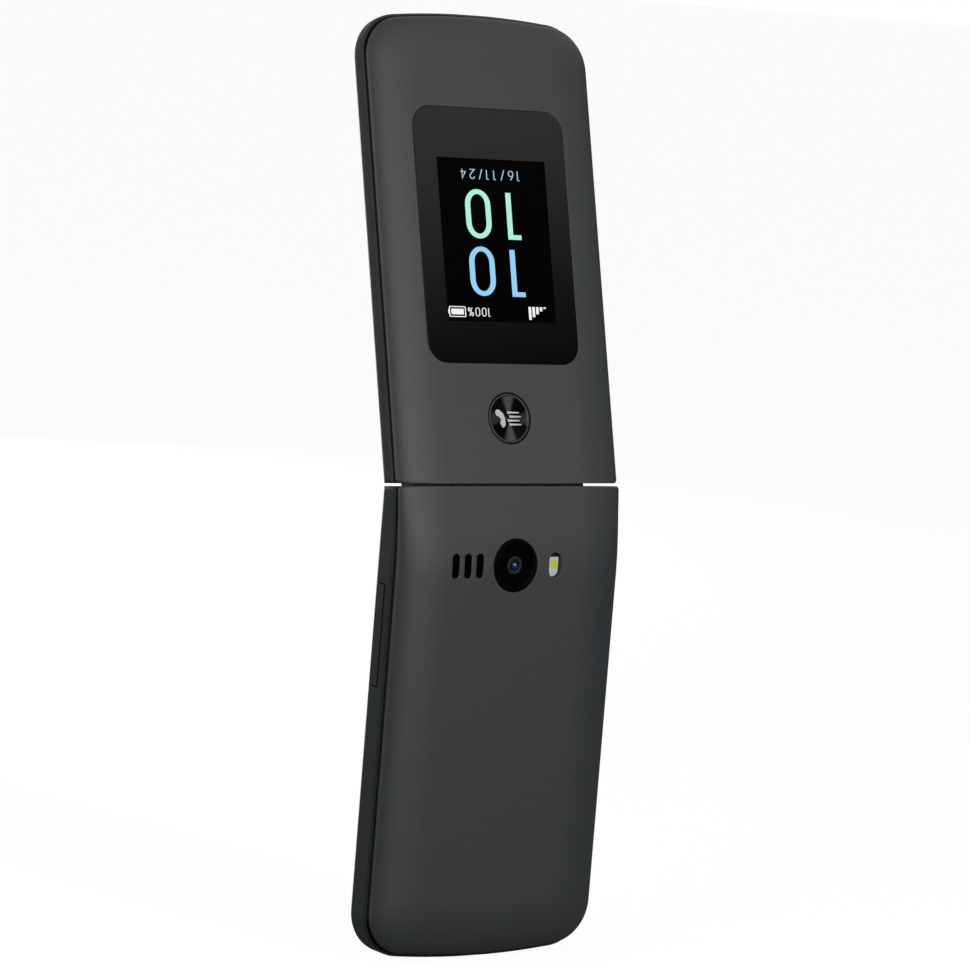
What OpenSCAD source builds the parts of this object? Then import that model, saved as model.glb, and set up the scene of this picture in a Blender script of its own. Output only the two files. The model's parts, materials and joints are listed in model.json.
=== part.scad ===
// Flip phone with an outer screen: a base and a lid on one friction hinge.
// Both halves are drawn in a half frame of their own: x runs across, y is the
// distance from the hinge axis towards the free end, and z points outward from
// the rim that faces the other half. in_base() and in_lid() put them in place.

/* [Halves] */
// Width of both halves across their side frames
phone_w = 57.9; // [57:0.1:60]
// Length of each half from the hinge axis to its free end
half_len = 100.7; // [100:0.1:106]
// Radius of the corners at the free ends
corner_r = 9.5; // [9:0.1:11]
// Radius of the shallow bow of each free end
bow_r = 207; // [160:1:400]
// Thickness of the side walls
side_wall = 2.2; // [2:0.05:2.4]
// Radius of the edge between the rim and the sides
rim_r = 1.8; // [1:0.1:1.9]
// Radius of the upright corners at the hinge end
end_r = 0.8; // [0.5:0.1:2]
// Angle between the two halves at the open stop
open_angle = 165; // [155:1:172]
// Gap between the two rims when closed
rim_gap = 0.4; // [0.3:0.05:0.8]
// Gap between the two hinge ends when open
end_gap = 0.6; // [0.5:0.1:1.4]

/* [Covers] */
// Wall of the lid cover and the battery cover
cover_wall = 1.4; // [1.2:0.05:1.6]
// Inset of the cover's outline from the side frame
cover_in = 0.25; // [0.1:0.05:0.4]
// Distance that the covers stand inside the frames at the free end
cover_end_in = 0.7; // [0.3:0.05:0.9]
// Inset of the groove between side frame and cover
groove_in = 0.55; // [0.45:0.05:0.8]
// Inset of that groove at the free end
groove_end_in = 1; // [0.6:0.05:1.2]
// Height of the groove between side frame and cover
groove_h = 1.05; // [0.8:0.05:1.3]
// Thickness of the cover's skirt below the groove
skirt_t = 0.9; // [0.7:0.05:1]
// Width of the curved edge along the sides
edge_w = 12; // [10:0.5:13]
// Width of the curved edge at the lid's free end
lid_edge_end = 8; // [7:0.5:9]
// Width of the curved edge at the base's free end
base_edge_end = 13; // [8:0.5:16]

/* [Hinge] */
// Radius of the hinge barrel
barrel_r = 4; // [3.7:0.1:4.1]
// Half the length of the whole barrel
barrel_half = 20.9; // [20.5:0.1:22]
// Half the length of the lid's knuckle
knuckle_half = 13.3; // [12:0.1:14]
// Side clearance between the knuckles
knuckle_gap = 0.2; // [0.1:0.05:0.4]
// Radius of the bore through the barrel
hinge_bore_r = 2.5; // [2.3:0.05:2.6]
// Radius of the cam shaft
shaft_r = 1.2; // [1:0.05:1.4]
// Running clearance of shafts and pins
run_fit = 0.05; // [0.03:0.01:0.08]

/* [Lid] */
// Thickness of the lid from its rim to its outer face
lid_t = 7.5; // [7.4:0.05:8.4]
// Height of the lid's side frame
lid_frame_h = 4.15; // [3.9:0.05:4.4]
// Thickness of the lid's inner face plate
lid_plate_t = 1.8; // [1.7:0.05:2]
// Width of the outer window
window_w = 39.1; // [36:0.1:40]
// Length of the outer window
window_len = 54.7; // [48:0.1:58]
// Distance of the outer window's middle from the hinge
window_y = 52.2; // [50:0.05:55]
// Corner radius of the outer window
window_r = 4.5; // [3:0.1:6]
// Thickness of the outer window's glass
window_t = 0.8; // [0.6:0.05:0.9]
// Radius of the round key on the lid
quick_r = 5.4; // [4.5:0.1:5.8]
// Distance of the round key from the hinge
quick_y = 13.15; // [13:0.05:14]

/* [Inner screen] */
// Distance from the inner glass to the lid's sides
glass_side = 4.95; // [4.8:0.05:6]
// Distance from the inner glass to the lid's free end
glass_end = 12.7; // [12.5:0.1:20]
// Distance of the inner glass from the hinge
glass_y0 = 12; // [11.5:0.1:12.5]
// Thickness of the inner glass
glass_t = 0.8; // [0.6:0.05:0.9]
// Width of the inner picture
picture_w = 44; // [40:0.5:45]
// Length of the inner picture
picture_len = 58.7; // [52:0.1:60]

/* [Base] */
// Thickness of the base from its rim to its back
base_t = 10.4; // [10.3:0.05:11.4]
// Height of the base's side frame
base_frame_h = 6.4; // [6.2:0.05:6.6]
// Depth by which the back falls towards the hinge
back_dip = 2.6; // [1.5:0.1:2.7]
// Depth by which the side frame's seam falls towards the hinge
seam_dip = 1.35; // [1:0.05:1.4]
// Distance from the hinge at which the bend of the back starts
dip_from = 8; // [6:0.5:9]
// Distance from the hinge at which the bend of the back ends
dip_to = 19; // [16:0.5:19]
// Depth of the keypad below the rim
pad_depth = 0.5; // [0.4:0.05:0.6]
// Thickness of the keypad plate
pad_plate_t = 1.2; // [1:0.05:1.3]

/* [Keys] */
// Travel of every key
key_travel = 0.3; // [0.2:0.05:0.35]
// Clearance around every key
key_gap = 0.15; // [0.1:0.01:0.2]
// Distance from the number keys to the base's sides
keys_side = 5.15; // [5:0.05:6]
// Space between two number keys in a row
key_space = 1; // [0.9:0.05:1.5]
// Space between two rows of number keys
row_space = 1.2; // [0.9:0.05:1.6]
// Distance from the hinge to the highest number keys
digits_start = 50.1; // [49:0.1:52]
// Distance from the lowest number keys to the free end
digits_end = 10.2; // [9.8:0.1:11]
// Outer radius of the direction ring
ring_r = 12; // [11:0.1:12.2]
// Radius of the middle key
ok_r = 5.3; // [4.5:0.1:5.6]
// Distance of the direction ring's middle from the hinge
ring_y = 26; // [25.5:0.1:27]
// Width of the volume key along the side
volume_len = 21.5; // [18:0.25:22]
// Height of the volume key across the side
volume_w = 2.6; // [2.2:0.05:2.65]
// Distance of the volume key's middle from the hinge
volume_y = 31.2; // [31:0.05:32]
// Reach of the volume key out of the side
volume_out = 0.2; // [0.15:0.05:0.5]

/* [Back] */
// Distance of the camera, speaker and flash from the hinge
camera_y = 15.85; // [15.5:0.05:17]
// Radius of the camera ring
camera_r = 5.6; // [5.2:0.05:5.7]
// Width of a speaker slot
slot_w = 1.73; // [1.4:0.01:2]
// Length of a speaker slot
slot_len = 5.2; // [4:0.1:6]
// Pitch of the speaker slots
slot_pitch = 3.08; // [2.9:0.02:3.4]
// Distance of the speaker slots from the middle
slots_x = 12.3; // [12:0.1:13]
// Distance of the flash from the middle
flash_x = 10.4; // [9.9:0.1:10.6]
// Width of the flash lens
flash_w = 2.95; // [2.4:0.05:3]
// Length of the flash lens
flash_len = 5.15; // [4.4:0.05:5.4]
// Width of the notch that opens the battery cover
notch_w = 11.7; // [9:0.1:14]

/* [Inside] */
// Thickness of the circuit boards
board_t = 0.8; // [0.6:0.05:0.9]
// Width of the battery
battery_w = 34; // [32:0.5:34]
// Distance from the hinge to the battery
battery_start = 42.7; // [42.5:0.1:46]
// Thickness of the battery
battery_t = 3.6; // [3.4:0.05:3.7]
// Distance from the battery to the free end
battery_end = 8; // [7.8:0.1:8.6]
// Radius of the headset socket
jack_r = 1.3; // [1.25:0.05:1.4]
// Distance of the headset socket from the hinge
jack_y = 44.4; // [44.2:0.1:44.6]

/* [Hidden] */
$fn = 64;

// Colours
shell_grey = "#454648";
frame_grey = "#26292a";
key_grey = "#2f3133";
glass_black = "#101113";
steel = "#a9acb0";
rubber = "#1b1b1c";
board_green = "#1e4a33";

// General fits
snug = 0.05;             // between pieces that seat on each other
fit = 0.1;               // around pieces that drop into a recess
flange_in = 0.35;        // width of a key's flange
flange_t = 0.3;          // thickness of a key's flange
recess_gap = 0.2;        // clearance round a piece in its recess
well_gap = 0.3;          // clearance of the battery in its well
screw_sink = 0.2;        // depth of the screw heads below their floor
eps = 0.01;              // overlap of cuts with the faces that they pass
past = 6;                // reach of cuts and rings past the hinge end
side_steps = 16;         // stations along the stretch near the hinge
corner_steps = 12;       // stations around a corner
bow_steps = 4;           // stations along half the bow, whose middle is flat
edge_steps = 9;          // rings over the curved edge
rim_steps = 5;           // rings around the edge of the rim

// Inner face of the side walls
wall_inner = phone_w / 2 - side_wall;

// The hinge
lean = 180 - open_angle;
axis_z = -rim_gap / 2;
relief_r = barrel_r + 0.25;
relief_half = barrel_half + 0.3;
scoop_t = 1;
scoop_r = relief_r + scoop_t;
end_wall = 3;
inner_y0 = scoop_r + 0.35;
pin_r = hinge_bore_r - run_fit;
base_knuckle_x = knuckle_half + knuckle_gap;
cap_t = 1;
bush_t = 0.7;
flex_x = -9;
flex_w = 4.6;
flex_t = 0.3;
flex_rise = 0.65;

// The covers
skirt_in = groove_in + skirt_t;
lip_in = skirt_in + fit;
lip_h = groove_h - 0.25;
frame_chamfer = 0.45;
dip_mid = (dip_from + dip_to) / 2;

// The lid, from its rim outward
lid_inner_face = lid_t - cover_wall;
glass_z0 = 0.2;
glass_z1 = glass_z0 + glass_t;
glass_w = phone_w - 2 * glass_side;
glass_len = half_len - glass_end - glass_y0;
glass_y = glass_y0 + glass_len / 2;
panel_z0 = lid_plate_t + snug;
panel_t = 1.6;
panel_z1 = panel_z0 + panel_t;
window_z0 = lid_t - window_t - 0.02;
window_ledge = 1.2;
outer_panel_t = 1.9;
outer_panel_z1 = lid_inner_face - snug;
outer_panel_z0 = outer_panel_z1 - outer_panel_t;
outer_panel_y = 51.2;
outer_panel_size = [33, 42];
chassis_z0 = panel_z1 + snug;
chassis_z1 = outer_panel_z0 - snug;
chassis_end = 14;
chassis_y1 = half_len - chassis_end;
board_near = 5;
board_near_y = inner_y0 + board_near;
lid_board_y1 = outer_panel_y - outer_panel_size[1] / 2 - 0.4;
quick_cap_z1 = lid_t - 0.05;
quick_flange_z1 = lid_inner_face - snug;
quick_flange_z0 = quick_flange_z1 - 0.45;
switch_z1 = quick_flange_z0 - key_travel - snug;
ear_y = half_len - 6.6;
ear_size = [12, 6];
ear_slot = [11, 1.5];
lid_screw_r = 0.7;
lid_head_r = 1.4;
lid_screw_x = [wall_inner - 2.65, wall_inner - 6.55];
lid_screw_y = [inner_y0 + 3, half_len - 7.2];
chassis_slot = [30, 5];      // opening in the chassis for the lid's flexible circuit
chassis_slot_y = 0.8 * half_len;
lid_screw_at = [for (k = [0, 1], side = [-1, 1]) [side * lid_screw_x[k], lid_screw_y[k]]];
lid_board_w = 2 * (wall_inner - 6.75);
bumper_out = 0.25;

// The base, from its rim outward
pad_z1 = pad_depth + pad_plate_t;
key_z0 = 0.1;
flange_z0 = pad_z1 + snug;
flange_z1 = flange_z0 + flange_t;
nub_z1 = flange_z1 + 0.1;
dome_z0 = nub_z1 + key_travel + snug;
dome_t = 0.25;
board_z0 = dome_z0 + dome_t;
board_z1 = board_z0 + board_t;
board_half = wall_inner - 5.75;
board_end = 9.3;
board_y1 = half_len - board_end;
back_inner = base_t - cover_wall;
battery_z1 = back_inner - 0.25;
battery_z0 = battery_z1 - battery_t;
floor_z = battery_z0 - snug;
battery_y1 = half_len - battery_end;
battery_y0 = battery_start;
battery_len = battery_y1 - battery_y0;
rear_z0 = board_z1 + snug;
rear_in = side_wall + fit;
slab_z1 = base_frame_h + 0.45;
tower_half = wall_inner - 7.55;
tower_z1 = back_inner - 0.15;
tower_y1 = battery_y0 - 0.15;
well_wall_z1 = slab_z1 + 1.8;
well_wall = 1.5;
shield_z1 = board_z1 + 1.35;
can_t = 0.25;
shield_y0 = inner_y0 + 2.4;
shield_y1 = tower_y1 - 4;
sim_t = 0.6;
sim_size = [26, 18];
sim_y = battery_y0 + 0.58 * battery_len;

// The keypad
keys_half = phone_w / 2 - keys_side;
col_pitch = (2 * keys_half + key_space) / 3;
digit_w = col_pitch - key_space;
row_pitch = (half_len - digits_end - digits_start + row_space) / 4;
digit_h = row_pitch - row_space;
digit_y = half_len - digits_end - digit_h / 2;
side_key = [keys_half - ring_r - 2.4, 10.8];
side_key_x = keys_half - side_key[0] / 2;
side_key_r = 1.6;
side_key_gap = 1;
soft_y = ring_y - (side_key[1] + side_key_gap) / 2;
call_y = ring_y + (side_key[1] + side_key_gap) / 2;
clear_size = [15.2, 5.6];
clear_y = (ring_y + ring_r + digits_start) / 2;
digit_r = 1.8;
ring_hole_r = ok_r + 0.3;
ring_z1 = flange_z1 - 0.05;
actuator_z0 = ring_z1 + 0.15;
actuator_z1 = actuator_z0 + 0.2;
actuator_r = ring_hole_r + 1.8;
DIGITS = [["1", "2", "3"], ["4", "5", "6"], ["7", "8", "9"], ["star", "0", "hash"]];

// The back
ring_top_z = base_t - 0.3;
camera_glass_r = camera_r - 0.9;
camera_glass_z1 = base_t - 0.55;
camera_glass_t = 0.6;
camera_glass_z0 = camera_glass_z1 - camera_glass_t;
lens_r = 2.2;
camera_box = 8.6;
camera_z0 = shield_z1 + 0.2;
speaker_w = 12.2;
speaker_len = 11.6;
speaker_size = [speaker_w, speaker_len];
speaker_z0 = camera_z0 + 0.25;
speaker_z1 = tower_z1 - 0.65;
mesh_z0 = speaker_z1 + snug;
mesh_t = 0.1;
flash_top = base_t - 1.1;
flash_z0 = tower_z1 - 0.35;
led_t = 0.7;
motor_r = 1.9;
motor_len = 11;
motor_at = [14, camera_y + 14.2];
motor_z = tower_z1 - motor_r - snug;

// The sockets and the volume key
port_z = 3.05;
port_size = [7.5, 2.6];
port_depth = 5.6;
port_hole = [8.1, 3.1];
jack_z = 3.25;
jack_body = [11.5, 5];
jack_z0 = pad_z1 + snug;
jack_z1 = jack_z + jack_r + 0.15;
volume_z0 = 1.7;
volume_tilt = 1.5;
volume_swing = (volume_len / 2 + 0.75) * sin(volume_tilt) + 0.05;
volume_flange_x1 = wall_inner - volume_swing;
volume_flange_x0 = volume_flange_x1 - 0.35;
volume_axis_x = wall_inner + 0.5;
volume_pin_r = 0.6;
volume_pin_z0 = 0.75;
switch_x1 = volume_flange_x0 - volume_swing;
notch_h = 1.3;
notch_depth = 1.2;

// The screws of the base
screw_r = 0.7;
screw_head_r = 1.25;
screw_head_t = 0.6;
boss_r = 1.7;
pilot_r = screw_r + snug;
mic_x = 8;                // microphone hole in the keypad face
mic_gap = 3;              // its distance from the last row of keys
mic_r = 0.5;
base_screw_x = [wall_inner - 4.15, wall_inner - 2.45, wall_inner - 7.75];
base_screw_y = [inner_y0 + 3, half_len - 6.7];
base_screw_at = [[-base_screw_x[0], base_screw_y[0]], [base_screw_x[0], base_screw_y[0]],
    [-base_screw_x[1], volume_y + 14.9], [base_screw_x[1], jack_y - 4.7],
    [-base_screw_x[2], base_screw_y[1]], [base_screw_x[2], base_screw_y[1]]];
base_screw_z0 = pad_z1 + 0.2;

// Height of the base's rim above the axis of the charging socket
rim_y = port_z;

// ---------------------------------------------------------------- placing

module in_base() {
    translate([0, rim_y, half_len]) mirror([0, 0, 1]) rotate([90, 0, 0]) children();
}

module in_lid() {
    translate([0, rim_y - axis_z, half_len]) rotate([-lean, 0, 0]) rotate([90, 0, 0])
        translate([0, 0, -axis_z]) children();
}

// ---------------------------------------------------------------- flat shapes

// Rectangle with round corners, centred
module rounded(size, r) {
    square([size[0] - 2 * r, size[1]], center = true);
    square([size[0], size[1] - 2 * r], center = true);
    for (x = [-1, 1], y = [-1, 1])
        translate([x * (size[0] / 2 - r), y * (size[1] / 2 - r)]) circle(r);
}

// Slab of a rounded rectangle between two heights
module slab(at, size, r, z0, z1) {
    translate([at[0], at[1], z0]) linear_extrude(z1 - z0) rounded(size, r);
}

// Box between two corners
module block(low, high) {
    translate(low) cube(high - low);
}

// Upright cylinder between two heights
module post(at, r, z0, z1) {
    translate([at[0], at[1], z0]) cylinder(r = r, h = z1 - z0);
}

// Cylinder along the hinge axis
module along_axis(r, x0, x1) {
    translate([x0, 0, axis_z]) rotate([0, 90, 0]) cylinder(r = r, h = x1 - x0);
}

// Middle of the bow and of the right corner, which no even inset moves
bow_y = half_len - bow_r;
corner_x = phone_w / 2 - corner_r;
corner_y = bow_y + sqrt(pow(bow_r - corner_r, 2) - pow(corner_x, 2));
corner_turn = atan2(corner_y - bow_y, corner_x);

// Outline of one half, drawn in by an even inset
module plan(inset = 0) {
    far = 2 * corner_r;
    difference() {
        intersection() {
            translate([-phone_w / 2 + inset, -past])
                square([phone_w - 2 * inset, half_len + past]);
            translate([0, bow_y]) circle(bow_r - inset, $fn = 360);
        }
        for (side = [-1, 1]) scale([side, 1]) translate([corner_x, corner_y]) difference() {
            polygon([[0, 0], [far, 0], [far, far], far * [cos(corner_turn), sin(corner_turn)]]);
            circle(corner_r - inset);
        }
    }
}

// ---------------------------------------------------------------- curved covers

// Share of the dip at distance y from the hinge: straight, then a bend
function fall(y) = y < dip_from ? 1 - y / dip_mid
    : y < dip_to ? pow(dip_to - y, 2) / (2 * (dip_to - dip_from) * dip_mid) : 0;

// Distance from the hinge of a station along the stretch that falls
function station(k) = -past + (dip_to + past) * k / side_steps;

// Right half of a ring, from the hinge end to the short flat in the middle of
// the free end, on which the open phone can stand.
// A ring is [side inset, end inset, corner radius, height, dip].
function half_ring(ring) = let(
    half = phone_w / 2 - ring[0],
    r = ring[2],
    mid = half_len - ring[1] - bow_r,
    cx = half - r,
    cy = mid + sqrt(pow(bow_r - r, 2) - cx * cx),
    turn = atan2(cy - mid, cx))
    concat(
        [for (k = [0:side_steps]) [half, station(k)]],
        [for (k = [0:corner_steps]) [cx + r * cos(turn * k / corner_steps),
                                     cy + r * sin(turn * k / corner_steps)]],
        [for (k = [1:bow_steps]) let(a = turn + (90 - turn) * k / (bow_steps + 1))
            [bow_r * cos(a), mid + bow_r * sin(a)]]);

// All points of a ring, from the right hinge end round to the left one
function ring_points(ring) = let(right = half_ring(ring), n = len(right))
    [for (k = [0:2 * n - 1]) let(p = k < n ? right[k] : right[2 * n - 1 - k])
        [k < n ? p[0] : -p[0], p[1], ring[3] - ring[4] * fall(p[1])]];

// Solid through a stack of rings, with faces that fall towards the hinge
module loft(rings) {
    points = [for (ring = rings) each ring_points(ring)];
    n = len(points) / len(rings);
    last = n - 1;
    top = (len(rings) - 1) * n;
    rungs = n / 2 - 1;
    faces = concat(
        [for (k = [0:len(rings) - 2], i = [0:last - 1])
            [k * n + i, (k + 1) * n + i, (k + 1) * n + i + 1]],
        [for (k = [0:len(rings) - 2], i = [0:last - 1])
            [k * n + i, (k + 1) * n + i + 1, k * n + i + 1]],
        [for (i = [0:rungs - 1]) [i, i + 1, last - i - 1, last - i]],
        [for (i = [0:rungs - 1]) [top + last - i, top + last - i - 1, top + i + 1, top + i]],
        [concat([for (k = [0:len(rings) - 1]) k * n + last],
                [for (k = [len(rings) - 1:-1:0]) k * n])]);
    polyhedron(points, faces, convexity = 6);
}

// Rings over the curved edge, from its foot up to the flat of the face
function edge_rings(inset, end_in, end_w, z0, z1, dip0, dip1) = [for (k = [0:edge_steps]) let(
    rise = sin(90 * k / edge_steps),
    run = 1 - cos(90 * k / edge_steps),
    side = (edge_w - inset) * run)
    [inset + side, end_in + (end_w - end_in) * run, corner_r - inset - side / 2,
     z0 + (z1 - z0) * rise, dip0 + (dip1 - dip0) * rise]];

// A ring that runs straight up at an even inset
function plain_ring(inset, z, dip) = [inset, inset, corner_r - inset, z, dip];

// A ring on the bottom of the groove, which is deeper at the free end
function groove_ring(z, dip) = [groove_in, groove_end_in, corner_r - groove_in, z, dip];

// Outer form of a cover: skirt, groove, then the curved edge
module cover_form(frame_h, face, dip0, dip1, end_w) {
    loft(concat([groove_ring(frame_h + snug, dip0), groove_ring(frame_h + groove_h, dip0)],
                edge_rings(cover_in, cover_end_in, end_w, frame_h + groove_h, face, dip0, dip1)));
}

// Thin shell of a cover, closed at the hinge end
module cover_shell(frame_h, face, dip0, dip1, end_w) {
    difference() {
        cover_form(frame_h, face, dip0, dip1, end_w);
        difference() {
            loft(concat([plain_ring(skirt_in, frame_h - 1, dip0)],
                        edge_rings(skirt_in, skirt_in, end_w, frame_h + groove_h, face - cover_wall, dip0, dip1)));
            beyond_end(end_wall);
        }
        beyond_end(0);
        end_corners();
        along_axis(relief_r, -relief_half, relief_half);
    }
}

// Everything past the slanted hinge end, drawn in by a distance
module beyond_end(inset) {
    span = 2 * phone_w;
    translate([0, 0, axis_z]) rotate([lean / 2, 0, 0])
        translate([-span / 2, end_gap / 2 + inset - span, -span / 2]) cube(span);
}

// Everything above a height that falls towards the hinge, as a cut
module above_fall(z, dip) {
    span = 2 * phone_w;
    translate([-span / 2, 0, 0]) rotate([90, 0, 90]) linear_extrude(span)
        polygon(concat([for (k = [0:side_steps]) let(y = station(k)) [y, z - dip * fall(y)]],
                       [[half_len + past, z], [half_len + past, z + span], [-past, z + span]]));
}

// Room for the knuckles of the other half between two distances, on both sides
module knuckle_room(x0, x1) {
    for (side = [-1, 1]) scale([side, 1, 1]) along_axis(relief_r, x0, x1);
}

// Outer form of a side frame: round edge at the rim, chamfer at the seam
module frame_form(frame_h, dip) {
    loft(concat([for (k = [0:rim_steps]) let(a = 90 * k / rim_steps)
                    plain_ring(rim_r * (1 - sin(a)), rim_r * (1 - cos(a)), 0)],
                [plain_ring(0, frame_h - frame_chamfer, dip), plain_ring(frame_chamfer, frame_h, dip)]));
}

// Material outside the round upright corners of the slanted hinge end
module end_corners() {
    reach = 20;
    translate([0, 0, axis_z]) rotate([lean / 2, 0, 0]) for (side = [-1, 1]) scale([side, 1, 1])
        translate([phone_w / 2 - end_r, end_gap / 2 + end_r, -reach]) difference() {
            translate([0, -2 * end_r, 0]) cube([3 * end_r, 2 * end_r, 2 * reach]);
            cylinder(r = end_r, h = 2 * reach);
        }
}

// Tray of a housing: face plate, side walls and the scoop behind the barrel
module tray(plate_t, frame_h, dip, room_x0, room_x1) {
    difference() {
        union() {
            difference() {
                translate([0, 0, plate_t]) linear_extrude(frame_h + lip_h - plate_t) plan(lip_in);
                translate([0, 0, plate_t - eps]) linear_extrude(frame_h + lip_h) plan(side_wall);
                block([-phone_w, -past, 0], [phone_w, inner_y0, 2 * frame_h]);
                above_fall(frame_h + lip_h, dip);
            }
            difference() {
                frame_form(frame_h, dip);
                translate([0, 0, plate_t]) linear_extrude(frame_h) difference() {
                    plan(side_wall);
                    translate([-phone_w, -past]) square([2 * phone_w, past + end_wall]);
                }
            }
            intersection() {
                along_axis(scoop_r, -relief_half - scoop_t, relief_half + scoop_t);
                linear_extrude(frame_h - dip) plan(side_wall);
            }
        }
        beyond_end(0);
        end_corners();
        knuckle_room(room_x0, room_x1);
    }
}

// ---------------------------------------------------------------- lid

module lid_inner_housing() {
    color(frame_grey) in_lid() difference() {
        union() {
            tray(lid_plate_t, lid_frame_h, 0, knuckle_half, relief_half);
            along_axis(barrel_r, -knuckle_half, knuckle_half);
        }
        along_axis(hinge_bore_r, -relief_half, relief_half);
        slab([0, glass_y], [glass_w + 2 * fit, glass_len + 2 * fit], 3, -1, glass_z1);
        slab([0, glass_y], [picture_w + 1, picture_len + 1], 1, 0, lid_plate_t + 1);
        slab([0, ear_y], ear_slot + [2, 2] * fit, ear_slot[1] / 2, -1, lid_plate_t + 1);
        for (at = lid_screw_at) {
            post(at, lid_head_r + fit, -1, 1.15);
            post(at, lid_screw_r + snug, 0, lid_plate_t + 1);
        }
        flex_route(fit);
    }
}

module lid_outer_cover() {
    color(shell_grey) in_lid() difference() {
        union() {
            cover_shell(lid_frame_h, lid_t, 0, 0, lid_edge_end);
            intersection() {
                cover_form(lid_frame_h - 1, lid_t, 0, 0, lid_edge_end);
                for (at = lid_screw_at) post(at, boss_r, lid_frame_h - 1, lid_t);
            }
            for (at = lid_screw_at) post(at, boss_r, lid_plate_t + snug, lid_frame_h);
        }
        slab([0, window_y], [window_w + fit, window_len + fit], window_r, window_z0 - 0.02, lid_t + 1);
        slab([0, window_y], [window_w, window_len] - [2, 2] * window_ledge, window_r - window_ledge,
             lid_frame_h, lid_t);
        post([0, quick_y], quick_r + key_gap, lid_frame_h, lid_t + 1);
        for (at = lid_screw_at) post(at, lid_screw_r + snug, 0, lid_frame_h + 1);
    }
}

module lid_chassis() {
    color(steel) in_lid() difference() {
        slab([0, (board_near_y + chassis_y1) / 2], [glass_w, chassis_y1 - board_near_y], 2,
             chassis_z0, chassis_z1);
        slab([0, chassis_slot_y], chassis_slot, 1, 0, lid_t);
    }
}

module inner_glass() {
    color(glass_black) in_lid() slab([0, glass_y], [glass_w, glass_len], 3 - fit, glass_z0, glass_z1);
}

module inner_display() {
    color(glass_black) in_lid() {
        slab([0, glass_y], [picture_w + 3, picture_len + 6], 0.8, panel_z0, panel_z1);
        slab([0, glass_y], [picture_w, picture_len], 0.5, glass_z1 + snug, panel_z0 + eps);
    }
}

module earpiece() {
    color(steel) in_lid() slab([0, ear_y], ear_size, 2, panel_z0, panel_z0 + 1.9);
}

module earpiece_mesh() {
    color(steel) in_lid() slab([0, ear_y], ear_slot, ear_slot[1] / 2 - fit, 0.5, lid_plate_t - 0.1);
}

module outer_window() {
    color(glass_black) in_lid()
        slab([0, window_y], [window_w, window_len], window_r - fit / 2, window_z0, window_z0 + window_t);
}

module outer_display() {
    color(glass_black) in_lid() {
        slab([0, outer_panel_y], outer_panel_size, 0.8, outer_panel_z0, outer_panel_z1);
        slab([0, outer_panel_y], outer_panel_size - [1.5, 1.5], 0.5, outer_panel_z1 - eps,
             window_z0 - snug);
    }
}

// Board on the hinge side of the outer screen, with the switch of the round key
module lid_board() {
    color(board_green) in_lid() {
        slab([0, (board_near_y + lid_board_y1) / 2], [lid_board_w, lid_board_y1 - board_near_y], 1,
             chassis_z1 + snug, chassis_z1 + snug + board_t);
        slab([0, quick_y], [4, 4], 0.5, chassis_z1 + snug, switch_z1);
    }
}

module quick_key() {
    color(key_grey) in_lid() {
        post([0, quick_y], quick_r, quick_flange_z0, quick_cap_z1);
        post([0, quick_y], quick_r + 0.7, quick_flange_z0, quick_flange_z1);
    }
}

// Rubber plugs that cover the screws; the two at the free end stop the lid
module lid_bumpers() {
    color(rubber) in_lid() for (at = lid_screw_at)
        post(at, lid_head_r, at[1] > half_len / 2 ? -bumper_out : 0.02, 0.5);
}

module lid_screws() {
    color(steel) in_lid() for (at = lid_screw_at) {
        post(at, lid_head_r - fit, 0.55, 1.15);
        post(at, lid_screw_r, 1.1, lid_frame_h + 0.8);
    }
}

// ---------------------------------------------------------------- hinge

// Spring unit that turns with the lid; its shaft runs in the cam of the base
module hinge_cartridge() {
    color(steel) in_lid() {
        along_axis(pin_r, 2, knuckle_half);
        along_axis(shaft_r, knuckle_half - 1, barrel_half - cap_t - 0.6);
    }
}

module hinge_cam() {
    color(steel) in_base() difference() {
        along_axis(pin_r, base_knuckle_x, barrel_half - cap_t - 0.1);
        along_axis(shaft_r + run_fit, 0, barrel_half);
    }
}

// Hollow pin on the other side, through which the flexible circuit passes
module hinge_bush() {
    color(steel) in_lid() difference() {
        along_axis(pin_r, -barrel_half + cap_t + 0.1, -4);
        along_axis(pin_r - bush_t, -phone_w, 0);
        flex_route(fit);
    }
}

// Route of the flexible circuit: out of the barrel, up past the chassis and over it
module flex_route(gap) {
    low = [flex_x - flex_w / 2 - gap, 0, axis_z + flex_rise - gap];
    turn_y = inner_y0 + 1;
    over_z = chassis_z1 + fit;
    block(low, [flex_x + flex_w / 2 + gap, turn_y, axis_z + flex_rise + flex_t + gap]);
    block([low[0], turn_y - flex_t - gap, low[2]],
          [flex_x + flex_w / 2 + gap, turn_y + gap, over_z + flex_t]);
    block([low[0], turn_y - flex_t - gap, over_z],
          [flex_x + flex_w / 2 + gap, board_near_y - fit, over_z + flex_t]);
}

module hinge_flex() {
    color("#b5701c") in_lid() {
        along_axis(pin_r - bush_t - 0.3, -barrel_half + cap_t + 1, -5);
        flex_route(0);
    }
}

// ---------------------------------------------------------------- base

// Hole for a key through the keypad plate
module key_hole(at, size, r) {
    slab(at, size + [2, 2] * key_gap, r + key_gap, -1, pad_z1 + 1);
}

// Middle of a number key; seen from the keypad's side, the first column is at +x
function digit_at(row, col) = [(1 - col) * col_pitch, digit_y - (3 - row) * row_pitch];

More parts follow.
